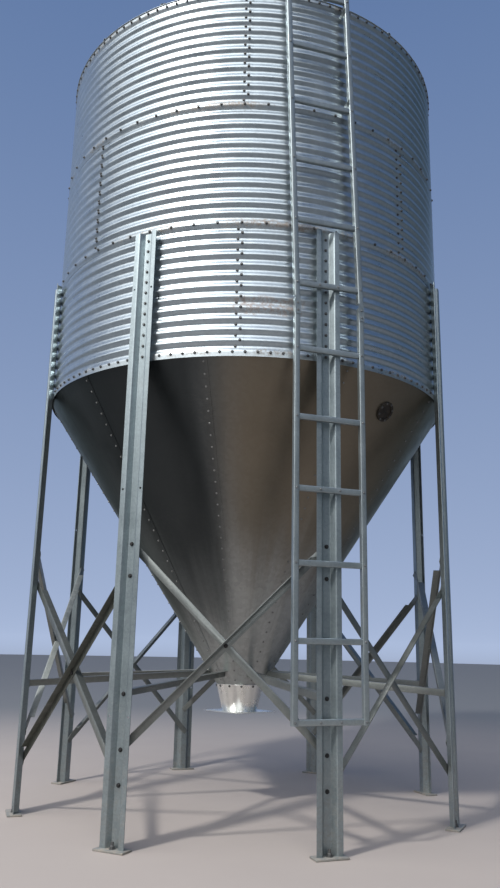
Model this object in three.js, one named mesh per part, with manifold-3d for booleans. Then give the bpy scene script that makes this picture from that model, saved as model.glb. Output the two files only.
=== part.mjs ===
import * as THREE from "three";
import { mergeVertices } from "three/addons/utils/BufferGeometryUtils.js";
import Module from "manifold-3d";

const wasm = await Module();
wasm.setup();

// All lengths are millimetres and all angles degrees. Azimuth 0 faces -Y and turns towards +X.

// Clearance left between pieces that touch
const gap = 0.3;

// How far bars and plates run into each other where they are joined into one body
const overlap = 1;

// Thickness of the wall, hopper and roof sheets
const sheet = 3;

// Corrugated wall: three rings of four sheets each, joined at crests, with a flat skirt below and above
const crestRadius = 1378;
const corrugationDepth = 12.7;
const corrugationPitch = 66.75;
const corrugationsPerRing = 12;
const ringHeight = corrugationPitch * corrugationsPerRing;
const wallBottom = 2580;
const firstCrest = 2609;
const topSkirt = 17;
const wallFacet = 15;
const sheetsPerRing = 4;
const ringSeams = [
  { name: "wall_lower", seam: -22.5 },
  { name: "wall_middle", seam: 22.5 },
  { name: "wall_upper", seam: -22.5 },
];
const wallTop = firstCrest + ringHeight * ringSeams.length + topSkirt;

// Hopper cone: five pieces of two panels each, with an upright brim inside the wall's lower skirt
const hopperPieces = 5;
const hopperSeam = 6.5;
const hopperFacet = 9;
const hopperMouth = { radius: 142.5, z: 725 };
const hopperBrim = { radius: 1370.2, z: 2587.3 };

// Roof cone, filler collar and lid
const eave = { outer: 1392, inner: 1355 };
const roofFoot = 1380;
const roofSlope = 30;
const roofHole = 290;
const collar = { inner: 292, skirt: 340, height: 100 };
const lid = { skirt: 25, rise: 45 };
const lidHandle = { width: 140, bar: 12, height: 42 };

// Outlet boot and its square flange
const boot = { top: 745, bottomRadius: 114 };
const outletFlange = { side: 340, thickness: 4, underside: 570, hole: 113, azimuth: 22.5 };

// Legs of outward-open hat section, with sides that spread from the web to the mouth
const legCount = 8;
const legHat = { web: 48, mouth: 86, depth: 38, lip: 29, thickness: 4, top: 3390 };
const legPlate = { width: 180, inner: 1366, outer: 1450, thickness: 10 };
const legHole = { diameter: 16, heights: [1529, 1357, 747, 472, 302] };

// Crossed angle bars between neighbouring legs
const brace = { size: 40, thickness: 4, pastHole: 22, bend: 25, flangeStart: 64 };
const braceHoles = [
  { upper: 1529, lower: 472 },
  { upper: 1357, lower: 302 },
];
const braceBolt = { diameter: 16, length: 18 };

// Radial struts from the legs to the hopper
const strut = { size: 40, thickness: 3, outerZ: 747, innerZ: 815, plate: 46 };

// Ladder of channel rails and rungs
const rail = { centre: 200, width: 32, depth: 28, thickness: 2.8, front: 1440 };
const rung = { first: 636, pitch: 398, height: 32, depth: 20, sunk: 0.1 };
const lowerRungs = 6;
const upperRungs = 6;
const lowerRail = { bottom: 620, top: 2920 };
const upperRail = { lap: 2830, bottom: 2940, top: 5120 };
const ladderLean = 1.95;
const leanPivot = 2880;
const spacer = { x: 57.5, diameter: 18 };
const lowerSpacerRungs = [0, 3];
const upperSpacerRungs = [0];
const wallTab = { thickness: 4, height: 40, reach: 1330 };
const wallTabHeights = [4277.75, 4945.25];

// Round sight window on the hopper
const sightWindow = { radius: 64, glass: 46, rim: 12, recess: 5, chamfer: 3, azimuth: 23.7, z: 2408 };

// Flat sides of the round shapes
const sides = { bolt: 12, spacer: 10, outletHole: 40, window: 24 };

// Surface finishes
const zinc = { color: 0xa9b1b5, roughness: 0.42, metalness: 0.85 };
const brightZinc = { color: 0xc2c8cb, roughness: 0.35, metalness: 0.9 };
const dullZinc = { color: 0x8c9498, roughness: 0.55, metalness: 0.8 };
const amberGlass = { color: 0x6f6147, roughness: 0.2, metalness: 0.1 };

const silo = new THREE.Group();
silo.name = "feed_silo";

const radians = (degrees) => THREE.MathUtils.degToRad(degrees);
const tan = (degrees) => Math.tan(radians(degrees));
const cos = (degrees) => Math.cos(radians(degrees));
const sin = (degrees) => Math.sin(radians(degrees));

// Position and index alone, with equal vertices joined
function welded(geometry) {
  geometry.deleteAttribute("normal");
  geometry.deleteAttribute("uv");
  return mergeVertices(geometry, 1e-4);
}

// A closed geometry as a solid for unions and cuts
function solid(geometry) {
  const closed = welded(geometry);
  return new wasm.Manifold(
    new wasm.Mesh({
      numProp: 3,
      vertProperties: closed.attributes.position.array,
      triVerts: new Uint32Array(closed.index.array),
    }),
  );
}

// A solid turned back into a geometry
function geometryOf(body) {
  const mesh = body.getMesh();
  const geometry = new THREE.BufferGeometry();
  geometry.setAttribute("position", new THREE.BufferAttribute(mesh.vertProperties, 3));
  geometry.setIndex(new THREE.BufferAttribute(mesh.triVerts, 1));
  return geometry;
}

function union(geometries) {
  return geometries.map(solid).reduce((all, one) => all.add(one));
}

// Adds one named mesh to the silo, turned to an azimuth
function place(name, geometry, finish, azimuth = 0) {
  const drawn = geometry.index ? geometry.toNonIndexed() : geometry;
  drawn.computeVertexNormals();
  const mesh = new THREE.Mesh(drawn, new THREE.MeshStandardMaterial(finish));
  mesh.name = name;
  mesh.rotation.z = radians(azimuth);
  silo.add(mesh);
}

// A closed loop of [radius, z] turned about the axis in flat facets, radii measured to the facets' middles
function turned(loop, facet, facets, start) {
  const stretch = 1 / cos(facet / 2);
  const points = loop.map(([radius, z]) => new THREE.Vector2(radius * stretch, z));
  points.push(points[0].clone());
  const geometry = new THREE.LatheGeometry(points, facets, 0, radians(facet * facets));
  if (facet * facets < 360) {
    const index = Array.from(geometry.index.array);
    const last = facets * points.length;
    const triangles = THREE.ShapeUtils.triangulateShape(points.slice(0, -1), []);
    for (const [a, b, c] of triangles) {
      index.push(a, b, c);
      index.push(last + a, last + c, last + b);
    }
    geometry.setIndex(index);
  }
  const body = welded(geometry);
  body.rotateX(Math.PI / 2);
  body.rotateZ(radians(start));
  return body;
}

function box(x0, x1, y0, y1, z0, z1) {
  const geometry = new THREE.BoxGeometry(x1 - x0, y1 - y0, z1 - z0);
  return geometry.translate((x0 + x1) / 2, (y0 + y1) / 2, (z0 + z1) / 2);
}

// A flat outline of [x, y] points extruded along +Z
function extruded(outline, length) {
  const shape = new THREE.Shape(outline.map(([x, y]) => new THREE.Vector2(x, y)));
  return new THREE.ExtrudeGeometry(shape, { depth: length, bevelEnabled: false });
}

// A round bar along Y
function roundBar(diameter, length, segments) {
  return new THREE.CylinderGeometry(diameter / 2, diameter / 2, length, segments);
}

// Pulls a piece's last edge back by the clearance, so that it doesn't touch its neighbour
function trimmedSeam(geometry, endAzimuth) {
  const position = geometry.attributes.position;
  for (let i = 0; i < position.count; i += 1) {
    const x = position.getX(i);
    const y = position.getY(i);
    const azimuth = Math.atan2(x, -y) * (180 / Math.PI);
    const offset = ((azimuth - endAzimuth + 540) % 360) - 180;
    if (Math.abs(offset) < 0.01) {
      const tangent = radians(endAzimuth);
      position.setX(i, x - gap * Math.cos(tangent));
      position.setY(i, y - gap * Math.sin(tangent));
    }
  }
  return geometry;
}

// Wall sheets
function corrugatedLoop(level) {
  const bottom = firstCrest + level * ringHeight;
  const outside = [];
  if (level === 0) outside.push([crestRadius, wallBottom]);
  for (let i = 0; i <= 2 * corrugationsPerRing; i += 1) {
    const radius = i % 2 ? crestRadius - corrugationDepth : crestRadius;
    outside.push([radius, bottom + (i * corrugationPitch) / 2]);
  }
  if (level === ringSeams.length - 1) outside.push([crestRadius, wallTop]);
  outside[outside.length - 1][1] -= gap;
  const slope = Math.atan2(corrugationDepth, corrugationPitch / 2);
  const inward = sheet / Math.cos(slope);
  const inside = outside.map(([radius, z]) => [radius - inward, z]).reverse();
  return [...outside, ...inside];
}
const sheetFacets = 360 / sheetsPerRing / wallFacet;
ringSeams.forEach((ring, level) => {
  const loop = corrugatedLoop(level);
  for (let i = 0; i < sheetsPerRing; i += 1) {
    const start = ring.seam + i * sheetFacets * wallFacet;
    const whole = turned(loop, wallFacet, sheetFacets, start);
    place(`${ring.name}_${i + 1}`, trimmedSeam(whole, start + sheetFacets * wallFacet), zinc);
  }
});

// Hopper cone pieces
const hopperGrade = (hopperBrim.z - hopperMouth.z) / (hopperBrim.radius - hopperMouth.radius);
const hopperAngle = Math.atan(hopperGrade);
const hopperInward = sheet / Math.sin(hopperAngle);
const brimInner = hopperBrim.radius - sheet;
const hopperRadius = (z) => hopperMouth.radius + (z - hopperMouth.z) / hopperGrade;
const hopperLoop = [
  [hopperMouth.radius, hopperMouth.z],
  [hopperBrim.radius, hopperBrim.z],
  [hopperBrim.radius, firstCrest],
  [brimInner, firstCrest],
  [brimInner, hopperBrim.z + (hopperInward - sheet) * hopperGrade],
  [hopperMouth.radius - hopperInward, hopperMouth.z],
];
const hopperSpan = 360 / hopperPieces;
for (let i = 0; i < hopperPieces; i += 1) {
  const start = hopperSeam + i * hopperSpan;
  const whole = turned(hopperLoop, hopperFacet, hopperSpan / hopperFacet, start);
  place(`hopper_${i + 1}`, trimmedSeam(whole, start + hopperSpan), dullZinc);
}

// Roof cone
const roofUnder = wallTop;
const roofFlangeTop = roofUnder + sheet;
const roofDrop = sheet / cos(roofSlope);
const roofZ = (radius) => roofFlangeTop + (roofFoot - radius) * tan(roofSlope);
const roofLoop = [
  [eave.outer, roofUnder],
  [eave.outer, roofFlangeTop],
  [roofFoot, roofFlangeTop],
  [roofHole, roofZ(roofHole)],
  [roofHole, roofZ(roofHole) - roofDrop],
  [roofFoot - sheet / sin(roofSlope), roofFlangeTop],
  [eave.inner, roofFlangeTop],
  [eave.inner, roofUnder],
];
const wallFacets = 360 / wallFacet;
place("roof", turned(roofLoop, wallFacet, wallFacets, wallFacet / 2), zinc);

// Filler collar standing on the roof
const seatRise = gap / cos(roofSlope);
const collarOuter = collar.inner + sheet;
const collarTop = roofZ(collar.inner) + collar.height;
const collarLoop = [
  [collar.inner, roofZ(collar.inner) + seatRise],
  [collar.skirt, roofZ(collar.skirt) + seatRise],
  [collar.skirt, roofZ(collar.skirt) + seatRise + roofDrop],
  [collarOuter, roofZ(collarOuter) + seatRise + roofDrop],
  [collarOuter, collarTop],
  [collar.inner, collarTop],
];
place("filler_collar", turned(collarLoop, wallFacet, wallFacets, wallFacet / 2), zinc);

// Lid over the collar, with a lifting handle
const lidInner = collarOuter + gap;
const lidUnder = collarTop + gap;
const lidProfile = [
  [0, lidUnder + lid.rise],
  [lidInner, lidUnder],
  [lidInner, collarTop - lid.skirt],
  [lidInner + sheet, collarTop - lid.skirt],
  [lidInner + sheet, lidUnder + sheet],
  [0, lidUnder + lid.rise + sheet],
];
const lidShell = new THREE.LatheGeometry(
  lidProfile.map(([radius, z]) => new THREE.Vector2(radius / cos(wallFacet / 2), z)),
  wallFacets,
);
lidShell.rotateX(Math.PI / 2);
lidShell.rotateZ(radians(wallFacet / 2));
const handleFoot = lidUnder + lid.rise / 2 + sheet;
const handleTop = lidUnder + lid.rise + lidHandle.height;
const handleHalf = lidHandle.width / 2;
const handleBar = lidHandle.bar;
const lidBody = union([
  lidShell,
  box(-handleHalf, handleHalf, -handleBar / 2, handleBar / 2, handleTop - handleBar, handleTop),
  box(-handleHalf, -handleHalf + handleBar, -handleBar / 2, handleBar / 2, handleFoot, handleTop),
  box(handleHalf - handleBar, handleHalf, -handleBar / 2, handleBar / 2, handleFoot, handleTop),
]);
place("filler_lid", geometryOf(lidBody), zinc);

// Outlet boot round the hopper's mouth
const flangeTop = outletFlange.underside + outletFlange.thickness;
const bootBottom = flangeTop + gap;
const bootTopRadius = hopperRadius(boot.top) + gap;
const bootLoop = [
  [boot.bottomRadius, bootBottom],
  [boot.bottomRadius + sheet, bootBottom],
  [bootTopRadius + sheet, boot.top],
  [bootTopRadius, boot.top],
];
place("outlet_boot", turned(bootLoop, hopperFacet, 360 / hopperFacet, hopperSeam), brightZinc);

// Square flange under the boot
const halfFlange = outletFlange.side / 2;
const flangePlate = solid(
  box(-halfFlange, halfFlange, -halfFlange, halfFlange, outletFlange.underside, flangeTop),
);
const flangeHole = roundBar(2 * outletFlange.hole, outletFlange.thickness * 3, sides.outletHole);
flangeHole.rotateX(Math.PI / 2);
flangeHole.translate(0, 0, outletFlange.underside + outletFlange.thickness / 2);
place("outlet_flange", geometryOf(flangePlate.subtract(solid(flangeHole))), brightZinc, outletFlange.azimuth);

// Legs
const webInner = crestRadius + gap;
const webOuter = webInner + legHat.thickness;
const lipFront = webInner + legHat.depth;
const lipBack = lipFront - legHat.thickness;
const halfWeb = legHat.web / 2;
const halfMouth = legHat.mouth / 2;
const halfLeg = halfMouth + legHat.lip;
const sideGrade = (halfMouth - halfWeb) / (lipBack - webInner);
const sideAcross = legHat.thickness * Math.hypot(1, sideGrade);
const sideInner = (radius) => halfWeb + (radius - webInner) * sideGrade - sideAcross;
const halfHat = [
  [halfWeb, webInner],
  [halfMouth, lipBack],
  [halfLeg, lipBack],
  [halfLeg, lipFront],
  [sideInner(lipFront), lipFront],
  [sideInner(webOuter), webOuter],
];
const hatOutline = [
  ...halfHat.map(([x, radius]) => [x, -radius]),
  ...halfHat.map(([x, radius]) => [-x, -radius]).reverse(),
];
const hatFoot = legPlate.thickness - overlap;
const hat = extruded(hatOutline, legHat.top - hatFoot);
hat.translate(0, 0, hatFoot);
const footPlate = box(
  -legPlate.width / 2,
  legPlate.width / 2,
  -legPlate.outer,
  -legPlate.inner,
  0,
  legPlate.thickness,
);
let leg = union([hat, footPlate]);
for (const z of legHole.heights) {
  const drill = roundBar(legHole.diameter, 4 * legHat.thickness, sides.bolt);
  drill.translate(0, -(webInner + webOuter) / 2, z);
  leg = leg.subtract(solid(drill));
}
const legGeometry = geometryOf(leg);
const legStep = 360 / legCount;
for (let i = 0; i < legCount; i += 1) {
  place(`leg_${i + 1}`, legGeometry, brightZinc, i * legStep);
}

// One diagonal bar of a bay, running down from the left leg to the right one
function diagonalBar(bend, outward, upper, lower, flangeSide, flangeEdge) {
  const tabRadius = crestRadius;
  const halfBay = legStep / 2;
  const bendX = tabRadius * sin(halfBay) - bend * cos(halfBay);
  const fall = upper - lower;
  const run = 2 * (bendX + bend);
  const slope = Math.atan2(fall, run);
  const upright = brace.size / 2 / Math.cos(slope);
  const bendUpper = upper - bend * Math.tan(slope);
  const bendLower = lower + bend * Math.tan(slope);
  const flat = extruded(
    [
      [-bendX, bendUpper - upright],
      [bendX, bendLower - upright],
      [bendX, bendLower + upright],
      [-bendX, bendUpper + upright],
    ],
    brace.thickness,
  );
  flat.rotateX(Math.PI / 2);
  flat.translate(0, -(outward - brace.thickness), 0);
  const length = (2 * bendX) / Math.cos(slope) - 2 * brace.flangeStart;
  const edge = (flangeEdge * brace.size) / 2;
  const flangeIn = flangeSide > 0 ? outward - brace.thickness : outward - brace.size;
  const flange = box(
    -length / 2,
    length / 2,
    -(flangeIn + brace.size),
    -flangeIn,
    edge - (flangeEdge > 0 ? brace.thickness : 0),
    edge + (flangeEdge > 0 ? 0 : brace.thickness),
  );
  flange.rotateY(slope);
  flange.translate(0, 0, (upper + lower) / 2);
  const along = [Math.cos(slope), Math.sin(slope)];
  const end = [-brace.pastHole * along[0], brace.pastHole * along[1]];
  const across = [(brace.size / 2) * along[1], (brace.size / 2) * along[0]];
  const tabOutline = [
    [bend, -bend * Math.tan(slope) - upright],
    [bend, -bend * Math.tan(slope) + upright],
    [end[0] + across[0], end[1] + across[1]],
    [end[0] - across[0], end[1] - across[1]],
  ];
  const upperTab = extruded(tabOutline, brace.thickness);
  upperTab.rotateX(Math.PI / 2);
  upperTab.translate(0, -(tabRadius - brace.thickness), upper);
  upperTab.rotateZ(radians(-halfBay));
  const lowerTab = extruded(
    tabOutline.map(([x, z]) => [-x, -z]),
    brace.thickness,
  );
  lowerTab.rotateX(Math.PI / 2);
  lowerTab.translate(0, -(tabRadius - brace.thickness), lower);
  lowerTab.rotateZ(radians(halfBay));
  return union([flat, flange, upperTab, lowerTab]);
}

// The plane of the front bar's outer face, and the rear bar's one thickness and a clearance behind it
const braceFront = crestRadius * cos(legStep / 2) + brace.bend * sin(legStep / 2);
const braceRear = braceFront - brace.thickness - gap;
const rearBend = brace.bend - (brace.thickness + gap) / sin(legStep / 2);
const mirror = new THREE.Matrix4().makeScale(-1, 1, 1);
function mirrored(body) {
  const geometry = geometryOf(body);
  geometry.applyMatrix4(mirror);
  const index = geometry.index.array;
  for (let i = 0; i < index.length; i += 3) {
    [index[i + 1], index[i + 2]] = [index[i + 2], index[i + 1]];
  }
  return solid(geometry);
}
for (let i = 0; i < legCount; i += 1) {
  const { upper, lower } = braceHoles[i % 2];
  const front = mirrored(diagonalBar(brace.bend, braceFront, upper, lower, 1, 1));
  const rear = diagonalBar(rearBend, braceRear, upper, lower, -1, 1);
  const bolt = roundBar(braceBolt.diameter, braceBolt.length, sides.bolt);
  bolt.translate(0, -(braceFront - brace.thickness - gap / 2), (upper + lower) / 2);
  const cross = front.add(rear).add(solid(bolt));
  place(`brace_${i + 1}`, geometryOf(cross), dullZinc, (i - 0.5) * legStep);
}

// Radial struts, each cut to the hopper's facets
const hopperSolid = turned(
  [
    [hopperMouth.radius + gap, hopperMouth.z],
    [hopperBrim.radius + gap, hopperBrim.z],
    [1, hopperBrim.z],
    [1, hopperMouth.z],
  ],
  hopperFacet,
  360 / hopperFacet,
  hopperSeam,
);
for (let i = 0; i < legCount; i += 1) {
  const azimuth = i * legStep;
  const innerRadius = hopperRadius(strut.innerZ);
  const run = crestRadius - innerRadius;
  const slope = Math.atan2(strut.innerZ - strut.outerZ, run);
  const length = run / Math.cos(slope) + 2 * strut.size;
  const angleOutline = [
    [-strut.size / 2, -strut.size / 2],
    [strut.size / 2, -strut.size / 2],
    [strut.size / 2, -strut.size / 2 + strut.thickness],
    [-strut.size / 2 + strut.thickness, -strut.size / 2 + strut.thickness],
    [-strut.size / 2 + strut.thickness, strut.size / 2],
    [-strut.size / 2, strut.size / 2],
  ];
  const bar = extruded(angleOutline, length);
  bar.rotateX(slope - Math.PI / 2);
  bar.translate(0, -crestRadius, strut.outerZ);
  const trim = box(-strut.size, strut.size, -2 * crestRadius, -crestRadius, 0, 2 * strut.innerZ);
  const plate = box(
    -strut.plate / 2,
    strut.plate / 2,
    -crestRadius,
    -(crestRadius - strut.thickness),
    strut.outerZ - strut.plate / 2,
    strut.outerZ + strut.plate / 2,
  );
  const cone = hopperSolid.clone().rotateZ(radians(-azimuth));
  const body = solid(bar).subtract(solid(trim)).add(solid(plate)).subtract(solid(cone));
  place(`strut_${i + 1}`, geometryOf(body), dullZinc, azimuth);
}

// Ladder sections
function railGeometry(centre, front, bottom, top) {
  const left = centre - rail.width / 2;
  const right = centre + rail.width / 2;
  const back = rail.front - rail.depth;
  const wall = rail.thickness;
  const outline = [
    [left, -front],
    [right, -front],
    [right, -back],
    [right - wall, -back],
    [right - wall, -(front - wall)],
    [left + wall, -(front - wall)],
    [left + wall, -back],
    [left, -back],
  ];
  return extruded(outline, top - bottom).translate(0, 0, bottom);
}

// A rung's web runs into the rails behind their fronts and its two flanges reach back between them
function rungPieces(front, z) {
  const reach = rail.centre + rail.width / 4;
  const clear = rail.centre - rail.width / 2 - overlap;
  const seat = front - rail.thickness;
  const back = seat - rung.depth;
  const foot = z - rung.height / 2;
  const head = z + rung.height / 2;
  return [
    box(-reach, reach, -(seat + rung.sunk), -(seat - rail.thickness), foot, head),
    box(-clear, clear, -seat, -back, foot, foot + rail.thickness),
    box(-clear, clear, -seat, -back, head - rail.thickness, head),
  ];
}

// Round spacers from a rung to the lips of the leg behind it
function spacers(front, z) {
  const from = lipFront + gap;
  const to = front - rail.thickness - overlap;
  return [-spacer.x, spacer.x].map((x) =>
    roundBar(spacer.diameter, to - from, sides.spacer).translate(x, -(to + from) / 2, z),
  );
}
const lowerParts = [-rail.centre, rail.centre].map((x) =>
  railGeometry(x, rail.front, lowerRail.bottom, lowerRail.top),
);
for (let i = 0; i < lowerRungs; i += 1) {
  const z = rung.first + i * rung.pitch;
  lowerParts.push(...rungPieces(rail.front, z));
  if (lowerSpacerRungs.includes(i)) lowerParts.push(...spacers(rail.front, z));
}
place("ladder_lower", geometryOf(union(lowerParts)), brightZinc);

// The upper section laps in front of the lower one and leans to the left
const upperFront = rail.front + gap + rail.thickness;
const upperParts = [];
for (const side of [-1, 1]) {
  const x = side * rail.centre;
  const halfRail = rail.width / 2;
  upperParts.push(railGeometry(x, upperFront, upperRail.bottom, upperRail.top));
  upperParts.push(
    box(
      x - halfRail,
      x + halfRail,
      -upperFront,
      -(upperFront - rail.thickness),
      upperRail.lap,
      upperRail.bottom + overlap,
    ),
  );
  const inner = side * (rail.centre - halfRail);
  const outer = inner + side * wallTab.thickness;
  for (const z of wallTabHeights) {
    const low = z - wallTab.height / 2;
    const high = z + wallTab.height / 2;
    upperParts.push(
      box(Math.min(inner, outer), Math.max(inner, outer), -(upperFront - overlap), -wallTab.reach, low, high),
    );
  }
}
for (let i = 0; i < upperRungs; i += 1) {
  const z = rung.first + (lowerRungs + i) * rung.pitch;
  upperParts.push(...rungPieces(upperFront, z));
  if (upperSpacerRungs.includes(i)) upperParts.push(...spacers(upperFront, z));
}
const upperLadder = geometryOf(union(upperParts));
upperLadder.translate(0, 0, -leanPivot);
upperLadder.rotateY(radians(-ladderLean));
upperLadder.translate(0, 0, leanPivot);
const wallPrism = turned(
  [
    [1, wallBottom],
    [crestRadius + gap, wallBottom],
    [crestRadius + gap, wallTop + rung.pitch],
    [1, wallTop + rung.pitch],
  ],
  wallFacet,
  wallFacets,
  wallFacet / 2,
);
place("ladder_upper", geometryOf(solid(upperLadder).subtract(solid(wallPrism))), brightZinc);

// Sight window: a round rim seated on the hopper with its glass set back
const windowProfile = [
  [0, -sightWindow.rim],
  [sightWindow.radius, -sightWindow.rim],
  [sightWindow.radius, sightWindow.rim - sightWindow.chamfer],
  [sightWindow.radius - sightWindow.chamfer, sightWindow.rim],
  [sightWindow.glass, sightWindow.rim],
  [sightWindow.glass, sightWindow.rim - sightWindow.recess],
  [0, sightWindow.rim - sightWindow.recess],
];
const windowShell = new THREE.LatheGeometry(
  windowProfile.map(([radius, z]) => new THREE.Vector2(radius, z)),
  sides.window,
);
windowShell.rotateX(1.5 * Math.PI - hopperAngle);
windowShell.translate(0, -hopperRadius(sightWindow.z), sightWindow.z);
const windowCone = hopperSolid.clone().rotateZ(radians(-sightWindow.azimuth));
const windowBody = solid(windowShell).subtract(solid(windowCone));
place("sight_window", geometryOf(windowBody), amberGlass, sightWindow.azimuth);

export default silo;
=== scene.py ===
import math

import bmesh
import bpy
from mathutils import Matrix, Vector


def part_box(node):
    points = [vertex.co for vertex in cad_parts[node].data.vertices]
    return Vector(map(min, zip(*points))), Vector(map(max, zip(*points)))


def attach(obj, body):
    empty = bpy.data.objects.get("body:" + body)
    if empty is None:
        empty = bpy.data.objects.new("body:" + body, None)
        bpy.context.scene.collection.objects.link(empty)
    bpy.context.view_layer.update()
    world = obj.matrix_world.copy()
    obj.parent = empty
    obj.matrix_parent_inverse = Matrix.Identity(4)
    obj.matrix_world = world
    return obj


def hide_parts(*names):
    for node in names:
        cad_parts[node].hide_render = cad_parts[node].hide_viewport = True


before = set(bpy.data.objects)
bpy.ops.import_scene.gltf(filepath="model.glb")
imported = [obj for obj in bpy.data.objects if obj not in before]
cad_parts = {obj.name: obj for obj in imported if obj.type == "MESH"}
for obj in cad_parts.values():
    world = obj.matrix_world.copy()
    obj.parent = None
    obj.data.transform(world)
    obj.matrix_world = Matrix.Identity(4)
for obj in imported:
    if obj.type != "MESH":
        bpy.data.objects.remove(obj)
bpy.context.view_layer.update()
stage = bpy.context.scene
stage.view_settings.view_transform = "Standard"

# the silo's upright axis, and the heights that its rings hang on (metres)
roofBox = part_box("roof")
axisY = (roofBox[0].y + roofBox[1].y) / 2
silo = {
    "crestRadius": 1.378,
    "grooveDepth": 0.0127,
    "pitch": 0.06675,
    "groovesPerRing": 12,
    "wallBottom": 2.580,
    "firstCrest": 2.609,
    "wallTop": 5.029,
    "rings": 3,
    "sheetsPerRing": 4,
    "seamAngles": (-21.35, 25.5, -20.75),
    "legs": 8,
}
ringHeight = silo["pitch"] * silo["groovesPerRing"]
ringCrests = [silo["firstCrest"] + ringHeight * level for level in range(silo["rings"] + 1)]
sheetStep, legStep = 360.0 / silo["sheetsPerRing"], 360.0 / silo["legs"]


# camera in the photograph's place, looking up at the bin
cameraPlace = {
    "spot": (-1.8199, axisY - 5.2855, 1.0374),
    "heading": 19.355,
    "pitch": 13.80,
    "roll": 1.188,
    "lens": 32.208,
}


def makeCamera(place):
    heading, pitch, roll = (math.radians(place[key]) for key in ("heading", "pitch", "roll"))
    ahead = Vector((
        math.sin(heading) * math.cos(pitch),
        math.cos(heading) * math.cos(pitch),
        math.sin(pitch),
    ))
    level = Vector((math.cos(heading), -math.sin(heading), 0.0))
    upright = level.cross(ahead)
    right = level * math.cos(roll) + upright * math.sin(roll)
    above = upright * math.cos(roll) - level * math.sin(roll)
    camera = bpy.data.objects.new("siloCamera", bpy.data.cameras.new("siloCamera"))
    camera.data.lens = place["lens"]
    camera.data.sensor_width = 36.0
    camera.data.sensor_fit = "AUTO"
    camera.data.clip_end = 200.0
    turn = Matrix((right, above, -ahead)).transposed().to_4x4()
    turn.translation = Vector(place["spot"])
    camera.matrix_world = turn
    stage.collection.objects.link(camera)
    stage.camera = camera


makeCamera(cameraPlace)
print("camera set")


# places round the axis, by an azimuth in degrees from -Y towards +X
def onAxis(azimuth, radius, height, aside=0.0):
    turn = math.radians(azimuth)
    return Vector((
        radius * math.sin(turn) + aside * math.cos(turn),
        axisY - radius * math.cos(turn) + aside * math.sin(turn),
        height,
    ))


def outwardAt(azimuth, rise=0.0):
    turn, tilt = math.radians(azimuth), math.radians(rise)
    return Vector((math.sin(turn) * math.cos(tilt), -math.cos(turn) * math.cos(tilt), math.sin(tilt)))


def boltSpot(azimuth, radius, height, aside=0.0, rise=0.0):
    # where a bolt stands, and the direction that its head faces
    return onAxis(azimuth, radius, height, aside), outwardAt(azimuth, rise)


def turnTo(azimuth):
    return Matrix.Translation((0, axisY, 0)) @ Matrix.Rotation(math.radians(azimuth), 4, "Z")


def sineOf(degrees):
    return math.sin(math.radians(degrees))


# small helpers for node trees
def feed(socket, value):
    # links a socket or a node's first output, and sets anything else as the value
    if isinstance(value, bpy.types.Node):
        value = value.outputs[0]
    if isinstance(value, bpy.types.NodeSocket):
        socket.id_data.links.new(value, socket)
    else:
        socket.default_value = value


def addNode(tree, kind, inputs=(), **settings):
    # inputs are fed in order, or by their names
    node = tree.nodes.new(kind)
    for key, value in settings.items():
        setattr(node, key, value)
    for key, value in inputs.items() if isinstance(inputs, dict) else enumerate(inputs):
        feed(node.inputs[key], value)
    return node


def treeOf(values):
    return next(value.id_data for value in values if hasattr(value, "id_data"))


def calc(operation, *values):
    return addNode(treeOf(values), "ShaderNodeMath", values, operation=operation).outputs[0]


def plus(first, second):
    return calc("ADD", first, second)


def minus(first, second):
    return calc("SUBTRACT", first, second)


def times(product, *factors):
    for factor in factors:
        product = calc("MULTIPLY", product, factor)
    return product


def remap(value, fromMin, fromMax, toMin=0.0, toMax=1.0, way="LINEAR"):
    ends = (value, fromMin, fromMax, toMin, toMax)
    return addNode(value.id_data, "ShaderNodeMapRange", ends, interpolation_type=way).outputs[0]


def ease(value, *ends):
    return remap(value, *ends, way="SMOOTHSTEP")


def vectorCalc(operation, *values):
    outputs = addNode(treeOf(values), "ShaderNodeVectorMath", values, operation=operation).outputs
    return outputs["Value" if operation in ("DOT_PRODUCT", "LENGTH") else "Vector"]


def scaled(colour, amount):
    inputs = {0: colour, "Scale": amount}
    return addNode(amount.id_data, "ShaderNodeVectorMath", inputs, operation="SCALE").outputs[0]


def split(vector):
    return addNode(vector.id_data, "ShaderNodeSeparateXYZ", [vector]).outputs


def joined(*parts):
    return addNode(treeOf(parts), "ShaderNodeCombineXYZ", parts).outputs[0]


def newTree(name, kind, inputs, outputs):
    # an input's default value gives its type, or a word names the type
    tree = bpy.data.node_groups.new(name, kind)
    typeNames = {float: "Float", int: "Int", tuple: "Vector"}
    for label, value in inputs.items():
        bare = isinstance(value, str)
        typeName = "NodeSocket" + (value if bare else typeNames[type(value)])
        socket = tree.interface.new_socket(name=label, in_out="INPUT", socket_type=typeName)
        if not bare:
            socket.default_value = value
    for label in outputs:
        typeName = "NodeSocketGeometry" if label == "Geometry" else "NodeSocketFloat"
        tree.interface.new_socket(name=label, in_out="OUTPUT", socket_type=typeName)
    return tree, addNode(tree, "NodeGroupInput").outputs, addNode(tree, "NodeGroupOutput").inputs


def bakeTree(piece, tree, values):
    # runs a Geometry Nodes tree on the piece and keeps the result as a plain mesh
    modifier = piece.modifiers.new("shape", "NODES")
    modifier.node_group = tree
    for item in tree.interface.items_tree:
        if item.item_type == "SOCKET" and item.in_out == "INPUT" and item.name in values:
            modifier[item.identifier] = values[item.name]
    keepResult(piece, modifier)
    piece.data.name = piece.name
    return piece


def keepResult(piece, modifier):
    graph = bpy.context.evaluated_depsgraph_get()
    mesh = bpy.data.meshes.new_from_object(piece.evaluated_get(graph))
    piece.modifiers.remove(modifier)
    piece.data = mesh


# small helpers for pieces
def linkPiece(name, mesh):
    piece = bpy.data.objects.new(name, mesh)
    stage.collection.objects.link(piece)
    return piece


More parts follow.
